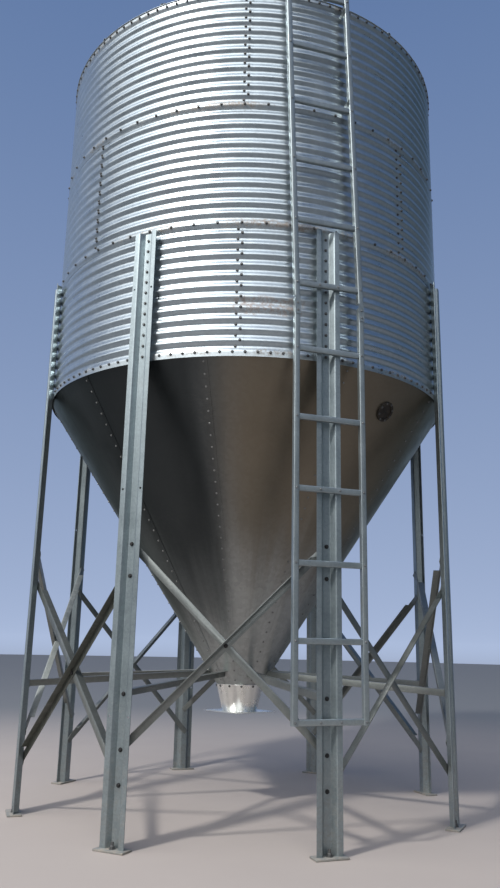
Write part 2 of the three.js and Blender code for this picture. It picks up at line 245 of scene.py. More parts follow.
def newPiece(name, vertices=(), faces=(), material=None):
    mesh = bpy.data.meshes.new(name)
    mesh.from_pydata([tuple(v) for v in vertices], (), faces)
    if material:
        mesh.materials.append(material)
    return linkPiece(name, mesh)


def smoothShade(piece, angle):
    piece.data.shade_smooth()
    piece.data.set_sharp_from_angle(angle=math.radians(angle))


def settle(piece, slotName, *nodes, smooth=None):
    # smooth is the angle in degrees past which an edge stays sharp
    if smooth:
        smoothShade(piece, smooth)
    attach(piece, "root")
    if nodes:
        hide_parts(*nodes)


# shader groups shared by the zinc finishes
def aroundAxis(vector, squeeze):
    # direction round the axis and a squeezed height, so that streaks run down walls and cones alike
    x, y, z = split(vector)
    unit = vectorCalc("NORMALIZE", joined(x, minus(y, axisY), 0.0))
    return vectorCalc("ADD", unit, joined(0.0, 0.0, times(z, squeeze)))


def noiseOf(vector, scale, detail=3.0, roughness=0.55):
    inputs = {"Vector": vector, "Scale": scale, "Detail": detail, "Roughness": roughness}
    return addNode(vector.id_data, "ShaderNodeTexNoise", inputs).outputs[0]


def makeSpangleGroup():
    # crystal patches of the zinc coating
    inputs = {"Vector": "Vector", "Scale": 45.0, "Contrast": 0.1}
    tree, given, result = newTree("zincSpangle", "ShaderNodeTree", inputs, ["Shade", "Height"])
    cells = addNode(tree, "ShaderNodeTexVoronoi", {"Vector": given["Vector"], "Scale": given["Scale"]})
    patch = addNode(tree, "ShaderNodeSeparateColor", [cells.outputs["Color"]]).outputs
    centred = minus(plus(patch[0], noiseOf(given["Vector"], 9.0)), 1.0)
    feed(result["Shade"], calc("MULTIPLY_ADD", centred, given["Contrast"], 1.0))
    feed(result["Height"], patch[1])
    return tree


def makeRollGroup():
    # fine lines that rolling leaves along the sheet
    inputs = {"Vector": "Vector", "Scale": 1.0}
    tree, given, result = newTree("rollLines", "ShaderNodeTree", inputs, ["Lines"])
    stretched = vectorCalc("MULTIPLY", given["Vector"], (1.2, 1.2, 230.0))
    feed(result["Lines"], noiseOf(stretched, given["Scale"], detail=2.0))
    return tree


shadeByHeightInputs = ("Foot", "Head", "Foot Tone", "Head Tone")


def makePaintedShadeGroup():
    # painted light and shade: an even change of tone with height
    inputs = {"Vector": "Vector", **dict(zip(shadeByHeightInputs, (0.0, 1.0, 1.0, 1.0)))}
    tree, given, result = newTree("paintedShadeByHeight", "ShaderNodeTree", inputs, ["Tone"])
    feed(result["Tone"], ease(split(given["Vector"])[2], *(given[label] for label in shadeByHeightInputs)))
    return tree


def maskGroup(name, inputs, paint):
    # a group whose mask one function paints from the group's own inputs
    inputs = {"Vector": "Vector", **inputs, "Amount": 0.5}
    tree, given, result = newTree(name, "ShaderNodeTree", inputs, ["Mask"])
    feed(result["Mask"], times(paint(given["Vector"], given), given["Amount"]))
    return tree


def paintStreaks(vector, given):
    # rain streaks down the surface
    around = aroundAxis(vector, squeeze=0.035)
    thin = remap(noiseOf(around, given["Scale"], detail=4.0, roughness=0.6), 0.45, 0.72)
    broad = remap(noiseOf(around, 5.0, detail=2.0), 0.35, 0.7, 0.15, 1.0)
    return times(thin, broad)


def paintDust(vector, given):
    # dust splashed up from the ground, fading out with height
    low = ease(split(vector)[2], 0.0, given["Reach"], 1.0, 0.0)
    speck = remap(noiseOf(vector, 26.0, detail=5.0, roughness=0.65), 0.38, 0.66)
    return times(low, speck)


def paintScuffs(vector, given):
    # rubbed and smeared places left by handling
    where = remap(noiseOf(vector, given["Scale"], detail=2.0), 0.58, 0.72)
    flattened = vectorCalc("MULTIPLY", vector, (1.0, 1.0, 3.0))
    marks = remap(noiseOf(flattened, 38.0, detail=5.0, roughness=0.7), 0.5, 0.62)
    return times(where, marks)


def paintGrime(vector, given):
    # brown dirt and rubbed marks along the joints between the rings
    height = minus(split(vector)[2], silo["firstCrest"] - ringHeight / 2)
    level = minus(calc("FLOORED_MODULO", height, ringHeight), ringHeight / 2)
    near = ease(calc("ABSOLUTE", level), given["Reach"], 0.006)
    patches = remap(noiseOf(vector, 3.4, detail=2.0), 0.46, 0.62, 0.12, 1.0)
    fine = remap(noiseOf(vector, 55.0, detail=5.0, roughness=0.7), 0.42, 0.6)
    return times(near, patches, fine)


def paintDirtAndShade(vector, given):
    # a band over one side, uneven at its edges: dirt on the wall sheets, painted reflection and shade on the
    # hopper
    towards = vectorCalc("DOT_PRODUCT", aroundAxis(vector, squeeze=0.0), given["Facing"])
    cloud = minus(noiseOf(aroundAxis(vector, squeeze=0.12), 9.0, detail=4.0), 0.5)
    across = ease(calc("MULTIPLY_ADD", cloud, 0.05, towards), given["Outer"], given["Inner"])
    height = calc("MULTIPLY_ADD", cloud, given["Waver"], split(vector)[2])
    above = ease(height, given["Foot"], given["Full"])
    below = ease(height, given["Held"], given["Head"], 1.0, 0.0)
    fine = remap(noiseOf(vector, 48.0, detail=5.0, roughness=0.7), 0.42, 0.6)
    worn = calc("MULTIPLY_ADD", minus(fine, 1.0), given["Grain"], 1.0)
    return times(across, above, times(below, worn))


groups = {
    "shadeByHeight": makePaintedShadeGroup(),
    "spangle": makeSpangleGroup(),
    "rollLines": makeRollGroup(),
    "streaks": maskGroup("rainStreaks", {"Scale": 40.0}, paintStreaks),
    "dust": maskGroup("groundDust", {"Reach": 0.8}, paintDust),
    "scuffs": maskGroup("handlingScuffs", {"Scale": 2.2}, paintScuffs),
    "grime": maskGroup("jointGrime", {"Reach": 0.034}, paintGrime),
    "dirtAndShade": maskGroup("sideDirtAndShade", {
        "Facing": (0.0, -1.0, 0.0), "Inner": 0.95, "Outer": 0.8, "Foot": 1.2, "Full": 1.8,
        "Held": 9.0, "Head": 10.0, "Waver": 0.9, "Grain": 0.0,
    }, paintDirtAndShade),
}


def useGroup(group, vector, **values):
    inputs = {"Vector": vector, **values}
    return addNode(vector.id_data, "ShaderNodeGroup", inputs, node_tree=groups[group]).outputs


def dirtAndShadeBand(azimuth, width, heights, amount, colour, waver, grain=0.0):
    # a band's colour, and its place as the group's inputs: width holds the half angles of its full and
    # its outer reach in degrees, and heights say where it starts, is full, begins to fade and has ended
    inner, outer = (math.cos(math.radians(half)) for half in width)
    place = dict(zip(("Foot", "Full", "Held", "Head"), heights))
    place |= {"Facing": outwardAt(azimuth), "Inner": inner, "Outer": outer}
    return {"colour": colour, "place": {**place, "Waver": waver, "Grain": grain, "Amount": amount}}


def blendColour(mask, first, second):
    node = addNode(mask.id_data, "ShaderNodeMix", data_type="RGBA")
    feed(node.inputs["Factor"], mask)
    colours = [socket for socket in node.inputs if socket.type == "RGBA"]
    for socket, colour in zip(colours, (first, second)):
        feed(socket, (*colour, 1.0) if isinstance(colour, tuple) else colour)
    return [socket for socket in node.outputs if socket.type == "RGBA"][0]


def newMaterial(name):
    material = bpy.data.materials.new(name)
    material.use_nodes = True
    tree = material.node_tree
    vector = addNode(tree, "ShaderNodeTexCoord").outputs["Object"]
    return material, tree.nodes["Principled BSDF"].inputs, vector


def zincMaterial(name, look):
    material, shader, vector = newMaterial(name)
    spangle = useGroup("spangle", vector, Scale=look["spangleScale"], Contrast=look["spangle"])
    streaks = useGroup("streaks", vector, Scale=look["streakScale"], Amount=look["streaks"])["Mask"]
    dust = useGroup("dust", vector, Reach=look["dustReach"], Amount=look["dust"])["Mask"]
    scuffs = useGroup("scuffs", vector, Scale=look["scuffScale"], Amount=look["scuffs"])["Mask"]
    tone = spangle["Shade"]
    # painted light and shade by height scale the tone
    if look["shadeByHeight"]:
        tone = times(tone, useGroup("shadeByHeight", vector, **dict(zip(shadeByHeightInputs, look["shadeByHeight"])))["Tone"])
    colour = scaled(look["colour"], tone)
    for mask, dirt in ((streaks, "streakColour"), (scuffs, "scuffColour"), (dust, "dustColour")):
        colour = blendColour(mask, colour, look[dirt])
    dull = calc("MAXIMUM", dust, times(scuffs, look["scuffDulling"]))
    if look["grime"]:
        grime = useGroup("grime", vector, Amount=look["grime"])["Mask"]
        colour = blendColour(grime, colour, look["grimeColour"])
        dull = calc("MAXIMUM", dull, grime)
    # bands of dirt on the wall, and bands of painted reflection and shade on the hopper
    for dirtAndShade in look["dirtAndShade"]:
        mask = useGroup("dirtAndShade", vector, **dirtAndShade["place"])["Mask"]
        colour = blendColour(mask, colour, dirtAndShade["colour"])
        if dirtAndShade["place"]["Grain"]:
            dull = calc("MAXIMUM", dull, mask)
    gloss = remap(noiseOf(vector, 7.0, detail=4.0), 0.3, 0.7, *look["roughness"])
    height = times(spangle["Height"], look["spangleRelief"])
    if look["rollLines"]:
        lines = useGroup("rollLines", vector)["Lines"]
        gloss = calc("MULTIPLY_ADD", minus(lines, 0.5), look["rollLines"], gloss)
        height = calc("MULTIPLY_ADD", lines, look["rollRelief"], height)
    gloss = plus(gloss, times(calc("MAXIMUM", dull, streaks), look["dirtRoughness"]))
    metallic = look["metallic"]
    bump = {"Strength": look["bump"], "Distance": 0.001, "Height": height}
    feed(shader["Base Color"], colour)
    feed(shader["Metallic"], calc("MULTIPLY_ADD", dull, -look["dirtCover"] * metallic, metallic))
    feed(shader["Roughness"], calc("MINIMUM", gloss, 0.95))
    feed(shader["Specular Tint"], (*look["edgeTint"], 1.0))
    feed(shader["Normal"], addNode(material.node_tree, "ShaderNodeBump", bump))
    return material


zincLook = {
    "colour": (0.47, 0.53, 0.56),
    "metallic": 0.92,
    "roughness": (0.27, 0.38),    # smoothest and dullest
    "edgeTint": (1.0, 1.0, 1.0),
    "spangleScale": 60.0,
    "spangle": 0.10,
    "spangleRelief": 0.25,
    "streakScale": 46.0,
    "streaks": 0.25,
    "streakColour": (0.42, 0.43, 0.43),
    "dustReach": 0.9,
    "dust": 0.0,
    "dustColour": (0.34, 0.30, 0.25),
    "scuffScale": 2.2,
    "scuffs": 0.25,
    "scuffColour": (0.50, 0.49, 0.46),
    "scuffDulling": 0.7,
    "grime": 0.0,
    "grimeColour": (0.17, 0.125, 0.08),
    "dirtRoughness": 0.28,
    "dirtCover": 0.7,
    "shadeByHeight": None,    # painted light and shade by height: the foot's and the head's height, and the tone at each
    "dirtAndShade": (),
    "rollLines": 0.0,
    "rollRelief": 0.4,
    "bump": 0.25,
}
boltLook = {"spangle": 0.05, "streaks": 0.0, "scuffs": 0.0}
finishes = {
    "wall": {
        "rollLines": 0.16, "streaks": 0.18, "grime": 0.75,
        "dirtAndShade": (
            dirtAndShadeBand(-14.5, (5.0, 10.0), (2.83, 2.86, 2.93, 2.96), 0.8, (0.27, 0.21, 0.18), 0.10, 1.0),
            dirtAndShadeBand(-13.0, (8.0, 13.0), (3.38, 3.395, 3.43, 3.45), 0.8, (0.26, 0.21, 0.17), 0.06, 1.0),
            dirtAndShadeBand(-30.0, (9.0, 14.0), (4.18, 4.20, 4.23, 4.25), 0.7, (0.28, 0.23, 0.19), 0.06, 1.0),
        ),
    },
    # painted reflection and shade: the hopper's dark colour, its tone lighter at the foot and darker at the
    # head, the brown band in front and the two dark bands on the left side
    "hopper": {
        "colour": (0.235, 0.250, 0.250), "metallic": 0.9, "roughness": (0.30, 0.42),
        "edgeTint": (0.60, 0.64, 0.56), "spangle": 0.16, "spangleScale": 48.0, "streaks": 0.28,
        "streakColour": (0.16, 0.155, 0.145), "scuffs": 0.4, "scuffColour": (0.34, 0.33, 0.30),
        "shadeByHeight": (1.0, 2.3, 1.75, 0.63),
        "dirtAndShade": (
            dirtAndShadeBand(10.0, (24.0, 44.0), (1.20, 1.85), 0.74, (0.192, 0.158, 0.108), 0.5),
            dirtAndShadeBand(-62.0, (24.0, 40.0), (0.85, 1.30), 0.80, (0.068, 0.078, 0.082), 0.4),
            dirtAndShadeBand(-50.0, (6.0, 27.0), (1.20, 1.70), 0.70, (0.024, 0.028, 0.030), 0.5),
        ),
    },
    "roof": {"roughness": (0.36, 0.5), "streaks": 0.4},
    # the legs' tone by height is a painted shade, darkest at the foot
    "leg": {
        "colour": (0.335, 0.395, 0.415), "metallic": 0.85, "roughness": (0.34, 0.48), "spangle": 0.14,
        "spangleScale": 90.0, "dust": 0.45, "dustColour": (0.22, 0.20, 0.17), "shadeByHeight": (0.2, 2.7, 0.80, 0.92),
    },
    "plate": {
        "colour": (0.24, 0.25, 0.24), "metallic": 0.5, "roughness": (0.55, 0.7), "spangleScale": 90.0,
        "dust": 0.9,
    },
    "brace": {
        "colour": (0.212, 0.231, 0.223), "metallic": 0.80, "roughness": (0.38, 0.52), "spangleScale": 90.0,
        "dust": 0.5, "dustColour": (0.17, 0.155, 0.13), "scuffs": 0.5,
    },
    # a painted shade: the dark colour of one bay's outer bar
    "shadedOuterBrace": {
        "colour": (0.105, 0.114, 0.100), "metallic": 0.80, "roughness": (0.42, 0.58), "spangleScale": 90.0,
        "dust": 0.5, "dustColour": (0.12, 0.11, 0.085), "scuffs": 0.6, "scuffColour": (0.10, 0.10, 0.075),
    },
    # the ladder's tone by height is a painted shade, darker at its head
    "ladder": {
        "colour": (0.33, 0.378, 0.39), "metallic": 0.85, "roughness": (0.34, 0.48), "spangleScale": 90.0,
        "dust": 0.35, "shadeByHeight": (2.6, 3.4, 1.0, 0.80),
    },
    "boot": {"colour": (0.85, 0.86, 0.83), "roughness": (0.22, 0.34), "spangle": 0.06, "streaks": 0.3},
    "bolt": {**boltLook, "colour": (0.11, 0.112, 0.112), "metallic": 0.6, "roughness": (0.45, 0.6)},
    "blackBolt": {**boltLook, "colour": (0.014, 0.014, 0.015), "metallic": 0.2, "roughness": (0.55, 0.7)},
    "panelBolt": {**boltLook, "colour": (0.23, 0.235, 0.23), "metallic": 0.6, "roughness": (0.4, 0.55)},
    "ladderBolt": {**boltLook, "colour": (0.22, 0.235, 0.24), "metallic": 0.7, "roughness": (0.4, 0.55)},
}
zinc = {name: zincMaterial(f"{name}Zinc", {**zincLook, **look}) for name, look in finishes.items()}


def rubberMaterial():
    # dark sealing washers, chalky where they have weathered
    material, shader, vector = newMaterial("washerRubber")
    mottle = noiseOf(vector, 60.0, detail=4.0)
    feed(shader["Base Color"], blendColour(mottle, (0.02, 0.021, 0.023), (0.09, 0.09, 0.088)))
    feed(shader["Roughness"], remap(mottle, 0.3, 0.7, 0.55, 0.85))
    return material


washerRubber = rubberMaterial()
print("materials made")


# floor, sky and lamp
stageLook = {
    "floorRadius": 40.0,
    "floorSides": 96,
    "floorColour": (0.384, 0.339, 0.308),
    "floorMottle": (0.94, 1.05),
    "floorReach": (2.4, 8.0),
    "floorFar": (0.175, 0.180, 0.185),
    "skyTop": (0.108, 0.185, 0.37),
    "skyLow": (0.41, 0.50, 0.70),
    "skyReach": 0.75,
    "skyCurve": 0.6,
    "ground": (0.20, 0.205, 0.21),
    "groundEdge": -0.08,
    "bandColour": (0.078, 0.101, 0.126),
    "bandTop": (18.0, 38.0),    # this and the glow's places are in degrees
    "bandEnds": (0.15, 0.60),
    "eastReach": (0.72, 0.97),
    "eastTint": (0.62, 0.78, 0.86),
    "glowColour": (1.0, 0.975, 0.94),
    "glowStrength": 1.9,
    "glowAzimuth": -52.0,
    "glowWidth": (43.0, 71.0),
    "glowFoot": (8.0, 24.0),
    "glowHead": (62.0, 84.0),
    "keyAngles": (-57.0, 43.0),    # azimuth and height over the horizon
    "keyHeight": 2.5,
    "keyDistance": 16.0,
    "keySize": 1.4,
    "keyPower": 2300.0,
}


def makeFloor(look):
    material, shader, vector = newMaterial("paleFloor")
    shades = (tuple(part * share for part in look["floorColour"]) for share in look["floorMottle"])
    colour = blendColour(noiseOf(vector, 1.4, detail=4.0), *shades)
    distance = ease(vectorCalc("LENGTH", vector), *look["floorReach"])
    feed(shader["Base Color"], blendColour(distance, colour, look["floorFar"]))
    feed(shader["Roughness"], 0.9)
    turns = [2 * math.pi * side / look["floorSides"] for side in range(look["floorSides"])]
    rim = [(look["floorRadius"] * math.cos(turn), look["floorRadius"] * math.sin(turn), 0) for turn in turns]
    floor = newPiece("floor", rim, [tuple(range(len(rim)))], material)
    floor.location.z = -0.001


def makeSky(look):
    world = bpy.data.worlds.new("plainSky")
    stage.world = world
    world.use_nodes = True
    tree = world.node_tree
    edges = ("bandTop", "glowFoot", "glowHead")
    bandTop, glowFoot, glowHead = ([sineOf(end) for end in look[key]] for key in edges)
    east, north, rise = split(addNode(tree, "ShaderNodeTexCoord").outputs["Generated"])
    climb = calc("POWER", remap(rise, 0.0, look["skyReach"]), look["skyCurve"])
    sky = blendColour(climb, look["skyLow"], look["skyTop"])

    # a dull band low down behind the camera, which the sheets' downward faces mirror
    band = times(ease(rise, *bandTop, 1.0, 0.0), ease(north, *look["bandEnds"], 1.0, 0.0))
    sky = blendColour(band, sky, look["bandColour"])

    # a duller east, which the wall's shaded side mirrors
    level = vectorCalc("NORMALIZE", joined(east, north, 0.0))
    duller = ease(split(level)[0], *look["eastReach"])
    sky = blendColour(duller, sky, vectorCalc("MULTIPLY", sky, look["eastTint"]))

    # a broad soft glow on the key light's side
    towards = vectorCalc("DOT_PRODUCT", level, outwardAt(look["glowAzimuth"]))
    inner, outer = (sineOf(90.0 - width) for width in look["glowWidth"])
    upright = times(ease(rise, *glowFoot), ease(rise, *glowHead, 1.0, 0.0))
    glow = times(upright, ease(towards, outer, inner), look["glowStrength"])
    sky = vectorCalc("ADD", sky, scaled(look["glowColour"], glow))
    below = ease(rise, look["groundEdge"], 0.0, 1.0, 0.0)
    feed(tree.nodes["Background"].inputs["Color"], blendColour(below, sky, look["ground"]))


def makeKey(look):
    outward = outwardAt(*look["keyAngles"])
    lamp = bpy.data.objects.new("keyLight", bpy.data.lights.new("keyLight", "AREA"))
    lamp.data.shape = "DISK"
    lamp.data.size = look["keySize"]
    lamp.data.energy = look["keyPower"]
    lamp.data.color = look["glowColour"]
    lamp.location = Vector((0, axisY, look["keyHeight"])) + outward * look["keyDistance"]
    lamp.rotation_euler = outward.to_track_quat("Z", "Y").to_euler()
    stage.collection.objects.link(lamp)


makeFloor(stageLook)
makeSky(stageLook)
makeKey(stageLook)
print("floor and light set")


# helpers for the trees that make curved sheets: the wall's, the hopper's and the roof's
def unitGrid(tree, columns, rows):
    # a flat grid, and each point's share of the way across and along it
    inputs = {"Size X": 1.0, "Size Y": 1.0, "Vertices X": columns, "Vertices Y": rows}
    x, y = split(addNode(tree, "GeometryNodeInputPosition").outputs[0])[:2]
    return addNode(tree, "GeometryNodeMeshGrid", inputs), plus(x, 0.5), plus(y, 0.5)


def wrap(grid, radius, angle, height, centreY):
    # sets the grid's points round an upright axis
    sideways, forwards = times(radius, calc("SINE", angle)), times(radius, calc("COSINE", angle))
    spot = joined(sideways, minus(centreY, forwards), height)
    return addNode(grid.id_data, "GeometryNodeSetPosition", {"Geometry": grid, "Position": spot})


def joinMeshes(*meshes):
    both = addNode(meshes[0].id_data, "GeometryNodeJoinGeometry")
    for mesh in meshes:
        feed(both.inputs[0], mesh)
    return both


weldDistance = 0.00005


def thicken(skin, thickness, skinInside):
    # the skin and a pushed copy, the inner one turned over, closed along the rim
    tree = skin.id_data
    push = {"Mesh": skin, "Offset Scale": thickness, "Individual": False}
    pushed = addNode(tree, "GeometryNodeExtrudeMesh", push, mode="FACES")
    outer, inner = (pushed, skin) if skinInside else (skin, pushed)
    both = joinMeshes(outer, addNode(tree, "GeometryNodeFlipFaces", {"Mesh": inner}))
    return addNode(tree, "GeometryNodeMergeByDistance", {"Geometry": both, "Distance": weldDistance})


def paintMesh(shape, material):
    real = addNode(shape.id_data, "GeometryNodeRealizeInstances", [shape])
    return addNode(shape.id_data, "GeometryNodeSetMaterial", {"Geometry": real, "Material": material})


def makeSheetTree(name, corrugated):
    tree, given, result = newTree(name, "GeometryNodeTree", {
        "Bottom": 0.0, "Top": 1.0, "Radius": 1.0, "Foot Radius": 1.0, "Brim": 0.0, "Start": 0.0, "Span": 1.0,
        "Lap": 0.05, "Lap Step": 0.001, "Depth": 0.0, "Pitch": 0.07, "First Crest": 0.0, "Last Crest": 1.0,
        "Tuck From": 9.0, "Tuck": 0.0, "Thickness": 0.001, "Columns": 40, "Rows": 40, "Material": "Material",
    }, ["Geometry"])
    brimShare, edgeShare = 0.88, 0.16    # rows below the brim, and columns in the stepped edge
    edgeLaps, tuckLength = 1.9, 0.03    # the stepped edge's width in laps, and the tuck's length
    grid, across, along = unitGrid(tree, given["Columns"], given["Rows"])
    if corrugated:
        height = remap(along, 0.0, 1.0, given["Bottom"], given["Top"])
        held = calc("MINIMUM", calc("MAXIMUM", height, given["First Crest"]), given["Last Crest"])
        wave = calc("DIVIDE", minus(held, given["First Crest"]), given["Pitch"])
        dip = minus(1.0, calc("COSINE", times(wave, 2 * math.pi)))
        radius = minus(given["Radius"], times(dip, times(given["Depth"], 0.5)))
        tuckEnd = plus(given["Tuck From"], tuckLength)
        radius = minus(radius, ease(height, given["Tuck From"], tuckEnd, 0.0, given["Tuck"]))
    else:
        cone = remap(along, 0.0, brimShare, given["Bottom"], given["Top"])
        height = plus(cone, remap(along, brimShare, 1.0, 0.0, given["Brim"]))
        radius = remap(along, 0.0, brimShare, given["Foot Radius"], given["Radius"])

    # a sheet's first edge steps in, so that it passes under its neighbour's last edge
    lapTurn = calc("DIVIDE", given["Lap"], radius)
    edgeTurn = times(lapTurn, edgeLaps)
    rest = minus(plus(given["Span"], lapTurn), edgeTurn)
    turned = plus(remap(across, 0.0, edgeShare, 0.0, edgeTurn), remap(across, edgeShare, 1.0, 0.0, rest))
    angle = plus(minus(given["Start"], times(lapTurn, 0.5)), turned)
    radius = minus(radius, ease(turned, lapTurn, edgeTurn, given["Lap Step"], 0.0))
    skin = wrap(grid, radius, angle, height, axisY)
    sheet = thicken(skin, times(given["Thickness"], -1.0), skinInside=False)
    feed(result["Geometry"], paintMesh(sheet, given["Material"]))
    return tree


# in a piece's dictionary, a key that starts with a capital letter is an input of the piece's tree
wallSheet = {
    "names": ("wall_lower", "wall_middle", "wall_upper"),
    "rowHeight": 0.0056,
    "ringLap": 0.031,
    "ringRise": 0.012,
    "eaveGap": 0.0003,
    "tuckRun": 0.035,
    "noTuck": 9.0,    # a height above the silo
    "Thickness": 0.0012,
    "Lap": 0.066,
    "Lap Step": 0.0014,
    "Tuck": 0.0017,
    "Columns": 44,
    "Radius": silo["crestRadius"],
    "Depth": silo["grooveDepth"],
    "Pitch": silo["pitch"],
    "First Crest": silo["firstCrest"],
    "Last Crest": ringCrests[-1],
}


def makeWall(sheet):
    tree = makeSheetTree("corrugatedSheet", True)
    for level, nodeName in enumerate(sheet["names"]):
        lowest, highest = level == 0, level == silo["rings"] - 1
        bottom = silo["wallBottom"] if lowest else ringCrests[level] - sheet["ringLap"]
        top = silo["wallTop"] - sheet["eaveGap"] if highest else ringCrests[level + 1] + sheet["ringRise"]
        tuckFrom = ringCrests[level + 1] - sheet["ringLap"] - sheet["tuckRun"]
        for number in range(silo["sheetsPerRing"]):
            piece = bakeTree(newPiece(f"{nodeName}_sheet_{number + 1}"), tree, {
                **sheet,
                "Bottom": bottom,
                "Top": top,
                "Start": math.radians(silo["seamAngles"][level] + sheetStep * number),
                "Span": math.radians(sheetStep),
                "Tuck From": sheet["noTuck"] if highest else tuckFrom,
                "Rows": round((top - bottom) / sheet["rowHeight"]),
                "Material": zinc["wall"],
            })
            settle(piece, "wall_sheet", f"{nodeName}_{number + 1}", smooth=40)


makeWall(wallSheet)
print("wall sheets rolled")


hopper = {
    "panels": 10,
    "seam": 6.5,    # azimuth of the first one
    "Foot Radius": 0.1425,
    "Bottom": 0.725,
    "Radius": 1.3702,
    "Top": 2.5873,
    "Brim": 0.0215,
    "Thickness": 0.002,
    "Lap": 0.045,
    "Lap Step": 0.0024,
    "Columns": 34,
    "Rows": 26,
}
hopperRise = (hopper["Top"] - hopper["Bottom"]) / (hopper["Radius"] - hopper["Foot Radius"])
hopperTilt = math.degrees(math.atan2(1.0, hopperRise))    # the cone's outward face looks down by this
panelStep = 360.0 / hopper["panels"]


def hopperRadius(height):
    return hopper["Foot Radius"] + (height - hopper["Bottom"]) / hopperRise


def makeHopper(cone):
    tree = makeSheetTree("hopperPanel", False)
    for number in range(cone["panels"]):
        piece = bakeTree(newPiece(f"hopper_panel_{number + 1}"), tree, {
            **cone,
            "Start": math.radians(cone["seam"] + panelStep * number),
            "Span": math.radians(panelStep),
            "Material": zinc["hopper"],
        })
        settle(piece, "hopper_sheet", f"hopper_{number // 2 + 1}", smooth=30)


makeHopper(hopper)
print("hopper panels rolled")


# plain shapes, each a list of points and a list of faces
def bendStrip(path, thickness, bend, steps=4):
    # pairs of points on both sides of a flat strip that is bent along a path
    points = [Vector(point) for point in path]
    pairs = []

    def addPair(spot, heading):
        side = Vector((-heading.y, heading.x)) * thickness / 2
        pairs.append((spot + side, spot - side))

    addPair(points[0], (points[1] - points[0]).normalized())
    for before, corner, after in zip(points, points[1:], points[2:]):
        arrive, leave = (corner - before).normalized(), (after - corner).normalized()
        turn = math.atan2(arrive.x * leave.y - arrive.y * leave.x, arrive.dot(leave))
        first = corner - arrive * bend * math.tan(abs(turn) / 2)
        hub = first + Vector((-arrive.y, arrive.x)) * math.copysign(bend, turn)
        for step in range(steps + 1):
            spin = Matrix.Rotation(turn * step / steps, 2)
            addPair(hub + spin @ (first - hub), spin @ arrive)
    addPair(points[-1], (points[-1] - points[-2]).normalized())
    return pairs


def stripShape(pairs, low, high, upright=True):
    # a bent strip drawn out along Z, or along X when its path lies in the YZ plane
    points, faces = [], []
    for pair in pairs:
        for level in (low, high):
            points += [(spot.x, spot.y, level) if upright else (level, spot.x, spot.y) for spot in pair]
    last = 4 * len(pairs) - 4
    for a in range(0, last, 4):
        b = a + 4
        faces += [(a, a + 1, b + 1, b), (a + 2, b + 2, b + 3, a + 3)]
        faces += [(a, b, b + 2, a + 2), (a + 1, a + 3, b + 3, b + 1)]
    return points, faces + [(0, 2, 3, 1), (last, last + 1, last + 3, last + 2)]


def boxShape(low, high):
    points = [(x, y, z) for z in (low[2], high[2]) for y in (low[1], high[1]) for x in (low[0], high[0])]
    return points, [(0, 2, 3, 1), (4, 5, 7, 6), (0, 1, 5, 4), (2, 6, 7, 3), (0, 4, 6, 2), (1, 3, 7, 5)]


def latheShape(profile, segments, closed=True):
    # a loop of (radius, height) turned about Z
    count = len(profile)
    turns = [2 * math.pi * i / segments for i in range(segments)]
    points = [
        (radius * math.sin(turn), -radius * math.cos(turn), height)
        for turn in turns for radius, height in profile
    ]
    faces = []
    for i in range(segments):
        here, there = i * count, (i + 1) % segments * count
        for j in range(count if closed else count - 1):
            k = (j + 1) % count
            faces.append((here + j, there + j, there + k, here + k))
    return points, faces


def barShape(start, end, radius, sides=16):
    start, end = Vector(start), Vector(end)
    turn = (end - start).to_track_quat("Z", "Y")
    points, faces = latheShape(((radius, 0.0), (radius, (end - start).length)), sides, False)
    caps = [tuple(range(0, 2 * sides, 2))[::-1], tuple(range(1, 2 * sides, 2))]
    return [start + turn @ Vector(point) for point in points], faces + caps


def reshape(mesh, change):
    shape = bmesh.new()
    shape.from_mesh(mesh)
    change(shape)
    shape.to_mesh(mesh)
    shape.free()


def solidPiece(name, shapes, material=None, place=None):
    points, faces = [], []
    for shapePoints, shapeFaces in shapes:
        faces += [tuple(len(points) + corner for corner in face) for face in shapeFaces]
        points += [Vector(point) for point in shapePoints]
    piece = newPiece(name, points, faces, material)
    if place:
        piece.data.transform(place)

    def close(shape):
        bmesh.ops.remove_doubles(shape, verts=shape.verts, dist=0.000001)
        bmesh.ops.recalc_face_normals(shape, faces=shape.faces)

    reshape(piece.data, close)
    return piece


def turnedPiece(name, profile, sides, material, slotName, node, smooth=30, place=turnTo(0), extras=()):
    piece = solidPiece(name, [latheShape(profile, sides), *extras], material, place)
    settle(piece, slotName, node, smooth=smooth)


drillReach = 0.01    # how far a drill starts and ends off the plate


def drill(piece, bars):
    cutter = solidPiece("drills", bars)
    modifier = piece.modifiers.new("holes", "BOOLEAN")
    modifier.operation = "DIFFERENCE"
    modifier.solver = "EXACT"
    modifier.object = cutter
    keepResult(piece, modifier)
    bpy.data.objects.remove(cutter)


def roundEdges(piece, width):
    def bevel(shape):
        sharp = math.radians(35)
        corners = [edge for edge in shape.edges if edge.is_manifold and edge.calc_face_angle(0.0) > sharp]
        bmesh.ops.bevel(
            shape, geom=corners, offset=width, segments=2, profile=0.5, affect="EDGES", clamp_overlap=True,
        )

    reshape(piece.data, bevel)


def roundedCopy(nodeName, pieceName, width, material, slotName):
    # a merged copy of the solid with its long edges rounded
    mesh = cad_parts[nodeName].data.copy()
    mesh.name = pieceName
    mesh.materials.clear()
    mesh.materials.append(material)

    def merge(shape):
        bmesh.ops.remove_doubles(shape, verts=shape.verts, dist=0.00002)
        bmesh.ops.dissolve_limit(shape, angle_limit=math.radians(0.6), verts=shape.verts, edges=shape.edges)

    reshape(mesh, merge)
    piece = linkPiece(pieceName, mesh)
    roundEdges(piece, width)
    settle(piece, slotName, nodeName, smooth=32)
    return piece


